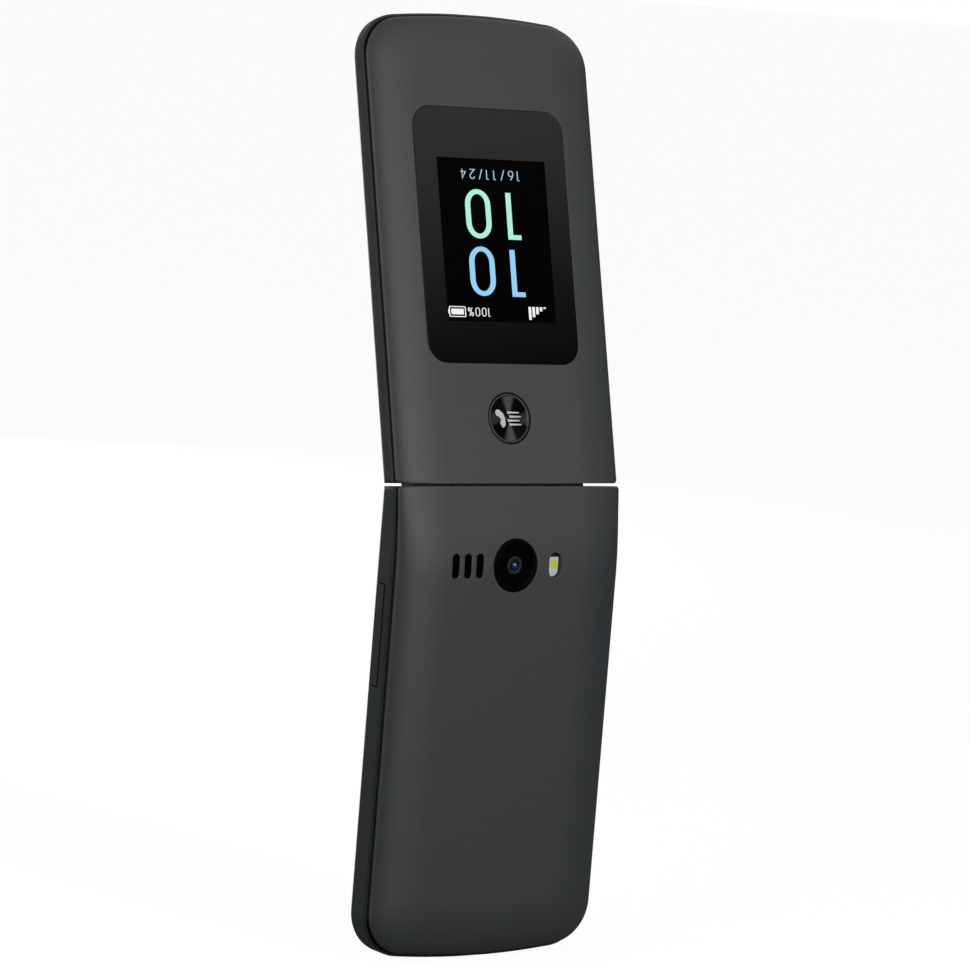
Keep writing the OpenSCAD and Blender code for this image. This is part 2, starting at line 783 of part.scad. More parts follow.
module keypad_housing() {
    color(frame_grey) in_base() difference() {
        union() {
            tray(pad_z1, base_frame_h, seam_dip, 0, base_knuckle_x);
            for (side = [-1, 1]) scale([side, 1, 1])
                along_axis(barrel_r, base_knuckle_x, barrel_half);
            for (at = base_screw_at) post(at, boss_r, pad_z1 - eps, board_z1);
        }
        along_axis(hinge_bore_r, -barrel_half + cap_t, barrel_half - cap_t);
        slab([0, (inner_y0 + 2 + digit_y + digit_h / 2 + 1.2) / 2],
             [3 * col_pitch + 1, digit_y + digit_h / 2 + 1.2 - inner_y0 - 2], 3, -1, pad_depth);
        post([0, ring_y], ring_r + recess_gap, -1, pad_z1 + 1);
        for (side = [-1, 1]) {
            key_hole([side * side_key_x, soft_y], side_key, side_key_r);
            key_hole([side * side_key_x, call_y], side_key, side_key_r);
        }
        key_hole([0, clear_y], clear_size, side_key_r);
        for (row = [0:3], col = [0:2]) key_hole(digit_at(row, col), [digit_w, digit_h], digit_r);
        for (at = base_screw_at) post(at, pilot_r, base_screw_z0 - 0.1, board_z1 + 1);
        translate([0, half_len - side_wall - 1, port_z]) rotate([-90, 0, 0])
            linear_extrude(side_wall + 2) rounded(port_hole, 0.8);
        translate([wall_inner - 1, jack_y, jack_z]) rotate([0, 90, 0])
            cylinder(r = jack_r + fit, h = side_wall + 2);
        block([-phone_w, volume_y - volume_len / 2 - recess_gap, volume_z0 - key_gap],
              [-volume_flange_x0 + 0.3, volume_y + volume_len / 2 + recess_gap, volume_z0 + volume_w + key_gap]);
        post([-volume_axis_x, volume_y], volume_pin_r + run_fit, volume_pin_z0 - snug, volume_z0);
        translate([mic_x, digit_y + digit_h / 2 + mic_gap, -1]) cylinder(r = mic_r, h = pad_z1 + 2);
    }
}

// Inner rear housing: it holds the battery, camera, loudspeaker and motor
module rear_housing() {
    well = [battery_w, battery_len] + well_gap * [1, 1];
    well_y = (battery_y0 + battery_y1) / 2;
    color(rubber) in_base() difference() {
        union() {
            translate([0, 0, rear_z0]) linear_extrude(slab_z1 - rear_z0) plan(rear_in);
            slab([0, (inner_y0 + tower_y1) / 2], [2 * tower_half, tower_y1 - inner_y0], 2,
                 rear_z0, tower_z1);
            slab([0, well_y], well + [2, 2] * well_wall, 4, rear_z0, well_wall_z1);
        }
        block([-phone_w, -past, 0], [phone_w, inner_y0, base_t]);
        above_fall(tower_z1, back_dip);
        slab([0, well_y], well, 2.6, floor_z, base_t);
        slab([0, sim_y], sim_size + recess_gap * [1, 1], 1, floor_z - sim_t - snug, base_t);
        slab([0, (shield_y0 + shield_y1) / 2], [2 * board_half - 1.6, shield_y1 - shield_y0 + 0.4], 1,
             0, shield_z1 + snug);
        slab([0, camera_y], [camera_box, camera_box] + recess_gap * [1, 1], 0.6, 0, base_t);
        slab([-slots_x, camera_y], speaker_size + recess_gap * [1, 1], 1, speaker_z0 - snug, base_t);
        slab([flash_x, camera_y], [flash_w, flash_len] + [0.6, 0.6], 1, flash_z0 - led_t - snug, base_t);
        slab(motor_at, [2 * motor_r + recess_gap, motor_len + 0.3], 0.5, motor_z - motor_r - snug, base_t);
        slab([0, battery_y0 - 1.4], [10.2, 3.1], 0.4, floor_z, base_t);
        block([-port_size[0] / 2 - recess_gap, half_len - port_depth - 0.6, 0],
              [port_size[0] / 2 + recess_gap, half_len, port_z + port_size[1] / 2 + 0.15]);
        block([wall_inner - jack_body[0] - recess_gap, jack_y - jack_body[1] / 2 - recess_gap, 0],
              [phone_w, jack_y + jack_body[1] / 2 + recess_gap, jack_z1 + fit]);
        block([-phone_w, volume_y - volume_len / 2 - 1, 0],
              [-volume_flange_x0 + 0.3, volume_y + volume_len / 2 + 1, volume_z0 + volume_w + 0.3]);
        for (at = base_screw_at) {
            post(at, pilot_r, 0, base_t);
            post(at, screw_head_r + fit, slab_z1 - screw_head_t - screw_sink, base_t);
        }
    }
}

module main_board() {
    color(board_green) in_base() difference() {
        union() {
            slab([0, (inner_y0 + 1 + board_y1) / 2], [2 * board_half, board_y1 - inner_y0 - 1], 2,
                 board_z0, board_z1);
            slab([0, board_y1], [2 * 12, 2 * (half_len - port_depth - 0.1 - board_y1)], 1,
                 board_z0, board_z1);
        }
        for (at = base_screw_at) post(at, boss_r + recess_gap, 0, base_t);
        block([wall_inner - jack_body[0] - recess_gap, jack_y - jack_body[1] / 2 - recess_gap, 0],
              [phone_w, jack_y + jack_body[1] / 2 + recess_gap, base_t]);
    }
}

module shield_can() {
    size = [2 * board_half - 2, shield_y1 - shield_y0];
    at = [0, (shield_y0 + shield_y1) / 2];
    color(steel) in_base() difference() {
        slab(at, size, 1, board_z1, shield_z1);
        slab(at, size - [2, 2] * can_t, 1 - can_t, board_z1 - 1, shield_z1 - can_t);
    }
}

// Sheet of metal domes under the keys
module dome_sheet() {
    sheet_z = dome_z0 + 0.12;
    color(steel) in_base() difference() {
        union() {
            slab([0, (inner_y0 + 2 + digit_y + digit_h / 2) / 2],
                 [2 * board_half, digit_y + digit_h / 2 - inner_y0 - 2], 2, sheet_z, board_z0);
            for (row = [0:3], col = [0:2]) post(digit_at(row, col), 2.2, dome_z0, sheet_z + eps);
            for (side = [-1, 1]) {
                post([side * side_key_x, soft_y], 1.9, dome_z0, sheet_z + eps);
                post([side * side_key_x, call_y], 1.9, dome_z0, sheet_z + eps);
            }
            post([0, ring_y], 2.2, dome_z0, sheet_z + eps);
            post([0, clear_y], 2.2, dome_z0, sheet_z + eps);
        }
        for (at = base_screw_at) post(at, boss_r + recess_gap, 0, base_t);
        block([wall_inner - jack_body[0] - recess_gap, jack_y - jack_body[1] / 2 - recess_gap, 0],
              [phone_w, jack_y + jack_body[1] / 2 + recess_gap, base_t]);
    }
}

module battery() {
    color("#3a3d42") in_base()
        slab([0, (battery_y0 + battery_y1) / 2], [battery_w, battery_len], 2.5, battery_z0, battery_z1);
}

module battery_contacts() {
    color("#c9a227") in_base()
        slab([0, battery_y0 - 1.4], [10, 2.7], 0.4, floor_z + snug, floor_z + 2);
}

module camera_module() {
    color(rubber) in_base() {
        slab([0, camera_y], [camera_box, camera_box], 0.6, camera_z0, tower_z1 - 0.6);
        post([0, camera_y], lens_r, tower_z1 - 0.61, camera_glass_z0 - fit);
    }
}

module camera_ring() {
    color(frame_grey) in_base() difference() {
        post([0, camera_y], camera_r, tower_z1, ring_top_z);
        post([0, camera_y], camera_glass_r + snug, camera_glass_z0 - 0.02, base_t);
        post([0, camera_y], camera_glass_r - 0.5, 0, base_t);
    }
}

module camera_window() {
    color(glass_black) in_base() post([0, camera_y], camera_glass_r, camera_glass_z0, camera_glass_z1);
}

module flash_led() {
    color("gold") in_base()
        slab([flash_x, camera_y], [flash_w, flash_len] - [0.6, 1.4], 0.4, flash_z0 - led_t,
             flash_z0 - snug);
}

module flash_lens() {
    color("white") in_base()
        slab([flash_x, camera_y], [flash_w, flash_len], flash_w / 2 - eps, flash_z0, flash_top);
}

module loudspeaker() {
    color(steel) in_base() slab([-slots_x, camera_y], speaker_size, 1, speaker_z0, speaker_z1);
}

module speaker_mesh() {
    color(glass_black) in_base()
        slab([-slots_x, camera_y], [2 * slot_pitch + slot_w + 2, slot_len + 2], 1,
             mesh_z0, mesh_z0 + mesh_t);
}

// Metal shell of the charging socket with its tongue
module usb_socket() {
    shell_t = 0.3;
    color(steel) in_base() translate([0, half_len - port_depth, port_z]) rotate([-90, 0, 0])
        difference() {
            linear_extrude(port_depth - 0.35) rounded(port_size, 0.6);
            translate([0, 0, 0.8]) linear_extrude(port_depth) difference() {
                rounded(port_size - [2, 2] * shell_t, 0.4);
                translate([0, -0.3]) square([port_size[0] - 2, 0.6], center = true);
            }
        }
}

module headset_socket() {
    color(rubber) in_base() difference() {
        block([wall_inner - jack_body[0], jack_y - jack_body[1] / 2, jack_z0],
              [wall_inner - snug, jack_y + jack_body[1] / 2, jack_z1]);
        translate([wall_inner - jack_body[0] + 1, jack_y, jack_z]) rotate([0, 90, 0])
            cylinder(r = jack_r, h = jack_body[0]);
    }
}

module sim_holder() {
    color(steel) in_base() difference() {
        slab([0, sim_y], sim_size, 0.8, floor_z - sim_t, floor_z - snug);
        slab([0, sim_y + 2], sim_size - [6, 7], 0.8, floor_z - sim_t + 0.15, floor_z);
    }
}

module vibration_motor() {
    color(steel) in_base() translate([motor_at[0], motor_at[1] - motor_len / 2, motor_z])
        rotate([-90, 0, 0]) cylinder(r = motor_r, h = motor_len);
}

// Small upright board behind the volume key with its two switches
module volume_switches() {
    strip_t = 0.45;
    button_t = 0.12;
    x1 = -switch_x1 + button_t;
    color(board_green) in_base() {
        block([x1, volume_y - 8, pad_z1 + snug], [x1 + strip_t, volume_y + 8, board_z1]);
        for (side = [-1, 1]) block([x1 - button_t, volume_y + side * 6 - 1.5, pad_z1 + 0.3],
                                   [x1 + eps, volume_y + side * 6 + 1.5, pad_z1 + 1.3]);
    }
}

module base_screws() {
    color(steel) in_base() for (at = base_screw_at) {
        post(at, screw_r, base_screw_z0, slab_z1 - screw_head_t - screw_sink + eps);
        post(at, screw_head_r, slab_z1 - screw_head_t - screw_sink, slab_z1 - screw_sink);
    }
}

module battery_cover() {
    color(shell_grey) in_base() difference() {
        cover_shell(base_frame_h, base_t, seam_dip, back_dip, base_edge_end);
        post([0, camera_y], camera_r + fit, base_frame_h, base_t + 1);
        for (k = [-1:1]) slab([-slots_x + k * slot_pitch, camera_y], [slot_w, slot_len],
                              slot_w / 2 - eps, base_frame_h, base_t + 1);
        slab([flash_x, camera_y], [flash_w, flash_len] + [2, 2] * fit, flash_w / 2 + fit - eps,
             base_frame_h, base_t + 1);
        block([-notch_w / 2, half_len - notch_depth - cover_in, base_frame_h - 1],
              [notch_w / 2, half_len + 1, base_frame_h + notch_h]);
    }
}

// ---------------------------------------------------------------- keys

module volume_key() {
    color(key_grey) in_base() {
        block([-phone_w / 2 - volume_out, volume_y - volume_len / 2, volume_z0],
              [-volume_flange_x1, volume_y + volume_len / 2, volume_z0 + volume_w]);
        block([-volume_flange_x1 - eps, volume_y - volume_len / 2 - 0.7, pad_z1 + fit],
              [-volume_flange_x0, volume_y + volume_len / 2 + 0.7, pad_z1 + 1.6]);
        post([-volume_axis_x, volume_y], volume_pin_r, volume_pin_z0, volume_z0 + eps);
    }
}

module nav_actuator() {
    color(rubber) in_base() difference() {
        post([0, ring_y], actuator_r, actuator_z0, actuator_z1);
        post([0, ring_y], ring_hole_r + recess_gap, 0, base_t);
    }
}

module nav_ring() {
    color(steel) in_base() difference() {
        post([0, ring_y], ring_r, key_z0, ring_z1);
        post([0, ring_y], ring_hole_r, -1, base_t);
    }
}

module key_ok() {
    color(steel) in_base() {
        post([0, ring_y], ok_r, key_z0, flange_z1);
        post([0, ring_y], 1.5, flange_z1 - eps, nub_z1);
    }
}

// A key cap with its flange and the nub that presses the dome
module key(at, size, r) {
    color(key_grey) in_base() {
        slab(at, size, r, key_z0, flange_z0 + eps);
        slab(at, size + [2, 2] * flange_in, r, flange_z0, flange_z1);
        post(at, 1.5, flange_z1 - eps, nub_z1);
    }
}

module key_soft_left() { key([side_key_x, soft_y], side_key, side_key_r); }

module key_soft_right() { key([-side_key_x, soft_y], side_key, side_key_r); }

module key_call() { key([side_key_x, call_y], side_key, side_key_r); }

module key_end() { key([-side_key_x, call_y], side_key, side_key_r); }

module key_clear() { key([0, clear_y], clear_size, side_key_r); }

module digit_key(row, col) { key(digit_at(row, col), [digit_w, digit_h], digit_r); }

// ---------------------------------------------------------------- assembly

keypad_housing();
rear_housing();
main_board();
shield_can();
dome_sheet();
battery();
battery_contacts();
camera_module();
camera_ring();
camera_window();
flash_led();
flash_lens();
loudspeaker();
speaker_mesh();
usb_socket();
headset_socket();
sim_holder();
vibration_motor();
volume_switches();
base_screws();
hinge_cam();
battery_cover();
volume_key();
nav_actuator();
nav_ring();
key_ok();
key_soft_left();
key_soft_right();
key_call();
key_end();
key_clear();
for (row = [0:3], col = [0:2])
    digit_key(row, col);
lid_inner_housing();
lid_outer_cover();
lid_chassis();
inner_glass();
inner_display();
earpiece();
earpiece_mesh();
outer_window();
outer_display();
lid_board();
lid_bumpers();
quick_key();
hinge_cartridge();
hinge_bush();
hinge_flex();
lid_screws();
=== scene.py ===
# %% [markdown]
# # A folding phone, standing open on its charging end
#
# This lesson dresses the solids of a folding phone. The solids already have the right sizes and
# places, so the work here is looks: smoother covers, finishes, the lit screens, the marks on the
# keys, the light and the camera. Everything is in metres in the solids' own frame, so nothing has
# to be fitted by hand.

# %% Load the solids
import json
import math

import bmesh
import bpy
from mathutils import Matrix, Vector


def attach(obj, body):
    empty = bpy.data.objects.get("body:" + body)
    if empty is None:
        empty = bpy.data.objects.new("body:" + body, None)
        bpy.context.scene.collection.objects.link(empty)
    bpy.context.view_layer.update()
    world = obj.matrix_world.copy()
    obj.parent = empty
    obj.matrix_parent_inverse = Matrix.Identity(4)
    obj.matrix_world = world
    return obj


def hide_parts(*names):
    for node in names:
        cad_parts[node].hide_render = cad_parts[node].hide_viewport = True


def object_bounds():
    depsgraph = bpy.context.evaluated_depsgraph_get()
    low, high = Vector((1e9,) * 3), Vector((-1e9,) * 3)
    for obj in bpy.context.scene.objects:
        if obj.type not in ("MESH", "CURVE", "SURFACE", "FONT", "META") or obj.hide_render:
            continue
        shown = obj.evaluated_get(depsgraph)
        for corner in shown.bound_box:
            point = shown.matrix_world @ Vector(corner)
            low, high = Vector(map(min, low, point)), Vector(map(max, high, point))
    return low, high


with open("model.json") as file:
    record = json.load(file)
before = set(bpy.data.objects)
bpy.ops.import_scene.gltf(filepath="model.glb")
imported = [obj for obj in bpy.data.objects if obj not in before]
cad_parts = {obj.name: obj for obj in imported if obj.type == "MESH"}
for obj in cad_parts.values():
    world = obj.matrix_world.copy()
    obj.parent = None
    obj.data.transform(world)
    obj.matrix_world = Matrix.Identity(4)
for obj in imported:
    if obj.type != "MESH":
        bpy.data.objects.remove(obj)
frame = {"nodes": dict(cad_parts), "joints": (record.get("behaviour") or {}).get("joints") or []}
cad_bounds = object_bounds()

# %% [markdown]
# ## A frame of its own for each half
#
# The phone has two halves that meet at the hinge. It is easiest to think of each half as lying
# flat: x runs across it, s runs away from the hinge, and z runs outward from the inner rim to the
# outer face. One matrix for each half turns those millimetres into the world's metres. Both come
# from the hinge joint that is in the record, so they follow the solids.

# %% The two halves
MM = 0.001
AXIS_Z = -0.2          # the hinge's axis lies just in front of the rims
lid_hinge = next(joint for joint in frame["joints"] if joint["name"] == "lid_hinge")
hinge_at = Vector(lid_hinge["pos_m"])
open_angle = max(abs(angle) for angle in lid_hinge["range_deg"])
lean = math.radians(180 - open_angle)


def half_frame(along, outward):
    """Matrix from a half's millimetres (across, from the hinge, outward) to the world."""
    axes = Matrix((Vector((1, 0, 0)), along, outward)).transposed().to_4x4()
    from_axis = Matrix.Translation((0, 0, -AXIS_Z))
    return Matrix.Translation(hinge_at) @ axes @ Matrix.Scale(MM, 4) @ from_axis


BASE = half_frame(Vector((0, 0, -1)), Vector((0, -1, 0)))
LID = half_frame(Vector((0, math.sin(lean), math.cos(lean))),
                 Vector((0, -math.cos(lean), math.sin(lean))))


def local_box(node, half):
    """Lowest and highest corner of a solid in a half's own millimetres."""
    back = half.inverted()
    spots = [back @ vertex.co for vertex in frame["nodes"][node].data.vertices]
    low = Vector([min(spot[k] for spot in spots) for k in range(3)])
    high = Vector([max(spot[k] for spot in spots) for k in range(3)])
    return low, high


def middle(node, half):
    """Middle of a solid in a half's own millimetres."""
    low, high = local_box(node, half)
    return (low + high) / 2


HALF_LEN = hinge_at.z / MM
PHONE_W = local_box("keypad_housing", BASE)[1].x * 2
BASE_T = local_box("battery_cover", BASE)[1].z
LID_T = local_box("lid_outer_cover", LID)[1].z
print("half length %.1f, width %.1f mm" % (HALF_LEN, PHONE_W))
print("thickness of the base %.1f, of the lid %.1f mm" % (BASE_T, LID_T))

# %% [markdown]
# ## Colours and shader nodes
#
# A colour picked on a screen is written in sRGB, while a shader counts light and wants linear
# numbers. One function does that conversion for every colour below. A second small function adds
# a shader node together with its settings and its links, so each finish reads as a short list.

# %% Colour and node helpers


def linear(code):
    """Linear RGBA of an sRGB colour such as #808080."""
    parts = [int(code[k:k + 2], 16) / 255 for k in (1, 3, 5)]
    flat = [c / 12.92 if c <= 0.04045 else ((c + 0.055) / 1.055) ** 2.4 for c in parts]
    return (*flat, 1.0)


def add_node(tree, kind, sockets=None, links=None, **settings):
    """Add a shader node, with its properties, the values of its sockets, and its links."""
    node = tree.nodes.new(kind)
    for name, value in settings.items():
        setattr(node, name, value)
    for name, value in (sockets or {}).items():
        node.inputs[name].default_value = value
    for name, source in (links or {}).items():
        tree.links.new(source, node.inputs[name])
    return node


def finish(name, colour, **sockets):
    """Material with one Principled shader; sockets are named with _ for a space."""
    material = bpy.data.materials.new(name)
    material.use_nodes = True
    tree = material.node_tree
    tree.nodes.clear()
    values = {key.replace("_", " "): value for key, value in sockets.items()}
    shader = add_node(tree, "ShaderNodeBsdfPrincipled", {"Base Color": linear(colour), **values})
    add_node(tree, "ShaderNodeOutputMaterial", links={"Surface": shader.outputs[0]})
    material.diffuse_color = linear(colour)
    return material


def place(tree):
    """Coordinates that stay with the piece, in metres."""
    return add_node(tree, "ShaderNodeTexCoord").outputs["Object"]


def grain(material, size_mm, depth_mm, strength=1.0):
    """Fine moulded or sprayed grain: a bump of that size and depth on the whole surface."""
    tree = material.node_tree
    shader = tree.nodes["Principled BSDF"]
    noise = add_node(tree, "ShaderNodeTexNoise", {"Scale": 1 / (size_mm * MM), "Detail": 2.0},
                     {"Vector": place(tree)})
    bump = add_node(tree, "ShaderNodeBump", {"Distance": depth_mm * MM, "Strength": strength},
                    {"Height": noise.outputs[0]})
    tree.links.new(bump.outputs[0], shader.inputs["Normal"])
    return material


print("mid grey #808080 is %.3f in linear light" % linear("#808080")[0])

# %% [markdown]
# ## Soft-touch paint
#
# The two outer covers are moulded polycarbonate, sprayed with a soft-touch paint. Such a paint is
# matt and spreads a light wide, so the curved edges shade slowly. Mica in it shows as a fine
# mottle with a few small bright flecks. Real flecks are about 0.1 mm, which is too fine to show,
# so they are drawn 0.3 mm wide and few.

# %% Paint of the covers
MIX_SHARE = 0          # sockets of a Mix node that is set to colours: its share,
MIX_FIRST = 6          # its two colours,
MIX_SECOND = 7
MIX_RESULT = 2         # and what comes out of it
MOTTLE_MM = 0.7
FLECK_MM = 0.55        # distance between the places where a fleck may lie
FLECK_CORE = 0.16      # a fleck is full up to this share of that distance
FLECK_EDGE = 0.26      # and has faded out here
FLECK_SHARE = 0.08     # share of the places that have one


def soft_touch_paint(name, dark, light, fleck):
    """Matt sprayed paint with a mottle of two tones and sparse flecks."""
    material = finish(name, dark, Roughness=0.5, Specular_IOR_Level=0.6)
    tree = material.node_tree
    shader = tree.nodes["Principled BSDF"]
    where = place(tree)
    mottle = add_node(tree, "ShaderNodeTexNoise",
                      {"Scale": 1 / (MOTTLE_MM * MM), "Detail": 3.0, "Roughness": 0.7},
                      {"Vector": where})
    tones = add_node(tree, "ShaderNodeMix", {MIX_FIRST: linear(dark), MIX_SECOND: linear(light)},
                     {MIX_SHARE: mottle.outputs[0]}, data_type="RGBA")
    cells = add_node(tree, "ShaderNodeTexVoronoi", {"Scale": 1 / (FLECK_MM * MM)},
                     {"Vector": where})
    spot = add_node(tree, "ShaderNodeMapRange",
                    {"From Min": FLECK_CORE, "From Max": FLECK_EDGE, "To Min": 1.0, "To Max": 0.0},
                    {"Value": cells.outputs["Distance"]})
    chance = add_node(tree, "ShaderNodeSeparateColor", links={"Color": cells.outputs["Color"]})
    chosen = add_node(tree, "ShaderNodeMath", {1: 1 - FLECK_SHARE}, {0: chance.outputs[0]},
                      operation="GREATER_THAN")
    mask = add_node(tree, "ShaderNodeMath", links={0: spot.outputs[0], 1: chosen.outputs[0]},
                    operation="MULTIPLY")
    flecks = add_node(tree, "ShaderNodeMix", {MIX_SECOND: linear(fleck)},
                      {MIX_SHARE: mask.outputs[0], MIX_FIRST: tones.outputs[MIX_RESULT]},
                      data_type="RGBA")
    tree.links.new(flecks.outputs[MIX_RESULT], shader.inputs["Base Color"])
    return grain(material, size_mm=0.25, depth_mm=0.004, strength=0.6)


COVER_PAINT = soft_touch_paint("soft_touch_painted_polycarbonate", "#313538", "#383c40", "#484c50")
print("paint:", COVER_PAINT.name)

# %% [markdown]
# ## Moulded plastics
#
# The side frames are plain polycarbonate moulded in a spark-eroded tool, which leaves a very fine
# even grain. They are a little darker and bluer than the paint. The hidden rear housing is nylon
# filled with glass, dull and almost black. The key caps are moulded clear and painted inside, so
# they have a smoother skin than the frame around them. The covers' skirts and the frames' ledges
# in the groove get a near-black painted shade, and the camera's trim is a black anodised ring.

# %% Plastics
FRAME_PLASTIC = grain(finish("spark_grained_polycarbonate", "#292e2f", Roughness=0.5,
                             Specular_IOR_Level=0.4), 0.3, 0.006, 0.6)
HOUSING_NYLON = grain(finish("glass_filled_nylon", "#17181a", Roughness=0.62), 0.4, 0.01, 0.5)
# Painted shade: near-black for the narrow groove between each cover and its frame
PAINTED_GROOVE_SHADE = finish("painted_groove_shade_black", "#0b0c0c", Roughness=0.6,
                      Specular_IOR_Level=0.2)
KEY_PLASTIC = finish("painted_key_polycarbonate", "#232527", Roughness=0.34,
                     Specular_IOR_Level=0.45)
LENS_BLACK = finish("black_anodised_camera_trim", "#050506", Roughness=0.3,
                    Specular_IOR_Level=0.04)
RUBBER = finish("moulded_silicone_rubber", "#18191a", Roughness=0.75, Specular_IOR_Level=0.25)
print("plastics:", FRAME_PLASTIC.name, HOUSING_NYLON.name, KEY_PLASTIC.name, RUBBER.name)

# %% [markdown]
# ## Windows and screens
#
# Both screens sit behind a sheet of hard-coated acrylic with a black border printed on its back.
# From outside, the sheet is one smooth black gloss, and a lamp shows in it as a soft mirror image.
# The picture behind it lights up by itself, so its marks are given an emission that makes them
# come out in their own colour whatever lamp is on.

# %% Gloss black and the lit marks
WINDOW_ACRYLIC = finish("hard_coated_black_printed_acrylic", "#0a0c0e", Roughness=0.06, IOR=1.49,
                        Specular_IOR_Level=0.3)
DISPLAY_GLASS = finish("display_glass", "#040405", Roughness=0.08, Specular_IOR_Level=0.15)
CAMERA_GLASS = finish("coated_camera_glass", "#040405", Roughness=0.05, Specular_IOR_Level=0.05)


def lit(name, colour):
    """Part of a lit picture: it gives off its own colour and reflects next to nothing."""
    return finish(name, "#050505", Roughness=0.3, Specular_IOR_Level=0.1,
                  Emission_Color=linear(colour), Emission_Strength=1.0)


LIT_MINT = lit("lit_mint_pixels", "#b0f0d6")
LIT_BLUE = lit("lit_blue_pixels", "#96d0f5")
LIT_PALE = lit("lit_pale_blue_pixels", "#a9cbe6")
LIT_WHITE = lit("lit_white_pixels", "#f2f4f4")
LIT_BLACK = finish("dark_pixels", "#020203", Roughness=0.3, Specular_IOR_Level=0.02)
LIT_GREEN = lit("lit_green_ink", "#35c46a")
LIT_RED = lit("lit_red_ink", "#e0483c")
LEGEND_INK = finish("white_key_ink", "#eceeef", Roughness=0.5)
print("lit marks:", LIT_MINT.name, LIT_BLUE.name, LIT_PALE.name, LIT_WHITE.name)

# %% [markdown]
# ## Metals
#
# The round key on the lid is a disc of aluminium, turned on a lathe and anodised black. Turning
# leaves fine circular grooves, which stretch each highlight into a bright sector from the middle to
# the edge. The shader gives part of that with anisotropy, turned round the disc by a radial tangent;
# the rest is painted highlight, as the colour itself swings between black and grey four times round
# the middle. The key's rim is anodised but not turned, so it is one plain dark grey. The direction
# ring is chromed plastic, and the springs, cans and screws are stamped or turned steel.

# %% Metal finishes
PAINTED_HIGHLIGHT_WEDGES = 4
BLACK_UP_TO = -0.3     # the wedges' cosine runs from -1 to 1 and is black up to here


def spun(name, dark, light, centre, roughness, anisotropy):
    """Turned metal whose colour swings between dark and light about a centre on the lid: painted
    highlight wedges.
    """
    material = finish(name, dark, Metallic=1.0, Roughness=roughness, Anisotropic=anisotropy)
    tree = material.node_tree
    shader = tree.nodes["Principled BSDF"]
    around = add_node(tree, "ShaderNodeTangent", direction_type="RADIAL", axis="Y")
    tree.links.new(around.outputs[0], shader.inputs["Tangent"])
    flat = add_node(tree, "ShaderNodeMapping", {"Location": LID @ centre, "Rotation": LID.to_euler()},
                    {"Vector": place(tree)}, vector_type="TEXTURE")
    turn = add_node(tree, "ShaderNodeTexGradient", links={"Vector": flat.outputs[0]},
                    gradient_type="RADIAL")
    swings = add_node(tree, "ShaderNodeMath", {1: PAINTED_HIGHLIGHT_WEDGES * math.tau}, {0: turn.outputs["Fac"]},
                      operation="MULTIPLY")
    swing = add_node(tree, "ShaderNodeMath", links={0: swings.outputs[0]}, operation="COSINE")
    share = add_node(tree, "ShaderNodeMapRange", {"From Min": BLACK_UP_TO, "From Max": 1.0},
                     {"Value": swing.outputs[0]}, interpolation_type="SMOOTHSTEP")
    # Painted highlight: the colour turns from dark to light and back in each of the wedges
    painted_wedge = add_node(tree, "ShaderNodeMix", {MIX_FIRST: linear(dark), MIX_SECOND: linear(light)},
                     {MIX_SHARE: share.outputs[0]}, data_type="RGBA")
    tree.links.new(painted_wedge.outputs[MIX_RESULT], shader.inputs["Base Color"])
    return material


# The black is the anodised metal; the grey of the wedges is painted highlight
SPUN_ALUMINIUM_PAINTED_HIGHLIGHTS = spun("black_anodised_spun_aluminium_painted_highlights", "#0b0b0c", "#424446",
                      middle("quick_key", LID), 0.32, 0.85)
KEY_RIM = finish("anodised_key_rim", "#2a2d2f", Roughness=0.45, Specular_IOR_Level=0.5)
CHROME = finish("dark_chromed_plastic", "#7c7f83", Metallic=1.0, Roughness=0.22)
STEEL = finish("stamped_steel", "#a9acb0", Metallic=1.0, Roughness=0.38)
HINGE_STEEL = finish("turned_hinge_steel", "#8f9296", Metallic=1.0, Roughness=0.3)
MAGNESIUM = finish("cast_magnesium_alloy", "#8c8f91", Metallic=1.0, Roughness=0.55)
GOLD = finish("gold_plated_contact", "#c9a24b", Metallic=1.0, Roughness=0.25)
print("metals:", SPUN_ALUMINIUM_PAINTED_HIGHLIGHTS.name, CHROME.name, STEEL.name)

# %% [markdown]
# ## Finishes inside
#
# The boards are glass-fibre laminate under a green solder mask, the circuit through the hinge is
# amber polyimide, and the battery wears a printed paper sleeve. The camera flash is a yellow
# phosphor chip behind a clear moulded lens.

# %% Inside finishes
SOLDER_MASK = finish("green_solder_mask", "#1e4a33", Roughness=0.35)
POLYIMIDE = finish("amber_polyimide", "#b5701c", Roughness=0.3)
BATTERY_SLEEVE = finish("printed_battery_sleeve", "#55585c", Roughness=0.6)
PHOSPHOR = finish("yellow_phosphor", "#f8fb5a", Roughness=0.5)
FLASH_LENS = finish("clear_moulded_flash_lens", "#fdfefc", Roughness=0.2, Specular_IOR_Level=0.8)
print("inside:", SOLDER_MASK.name, POLYIMIDE.name, PHOSPHOR.name)

# %% [markdown]
# ## Dressing the solids that keep their shape
#
# Most solids have the right shape already and only need a finish and soft edges. A moulded edge is
# never perfectly sharp, and the thin line of light on a rounded edge is what makes a piece look
# real. The solids come in with every face cut loose, so a weld joins them first, then a bevel
# rounds the sharp edges, and weighted normals keep the flat faces flat. Where a bevel would not
# show or would spoil a thin wall, the edges are only kept crisp.

# %% Finish and soft edges for each solid
WELD_MM = 0.004
SHARP = math.radians(32)


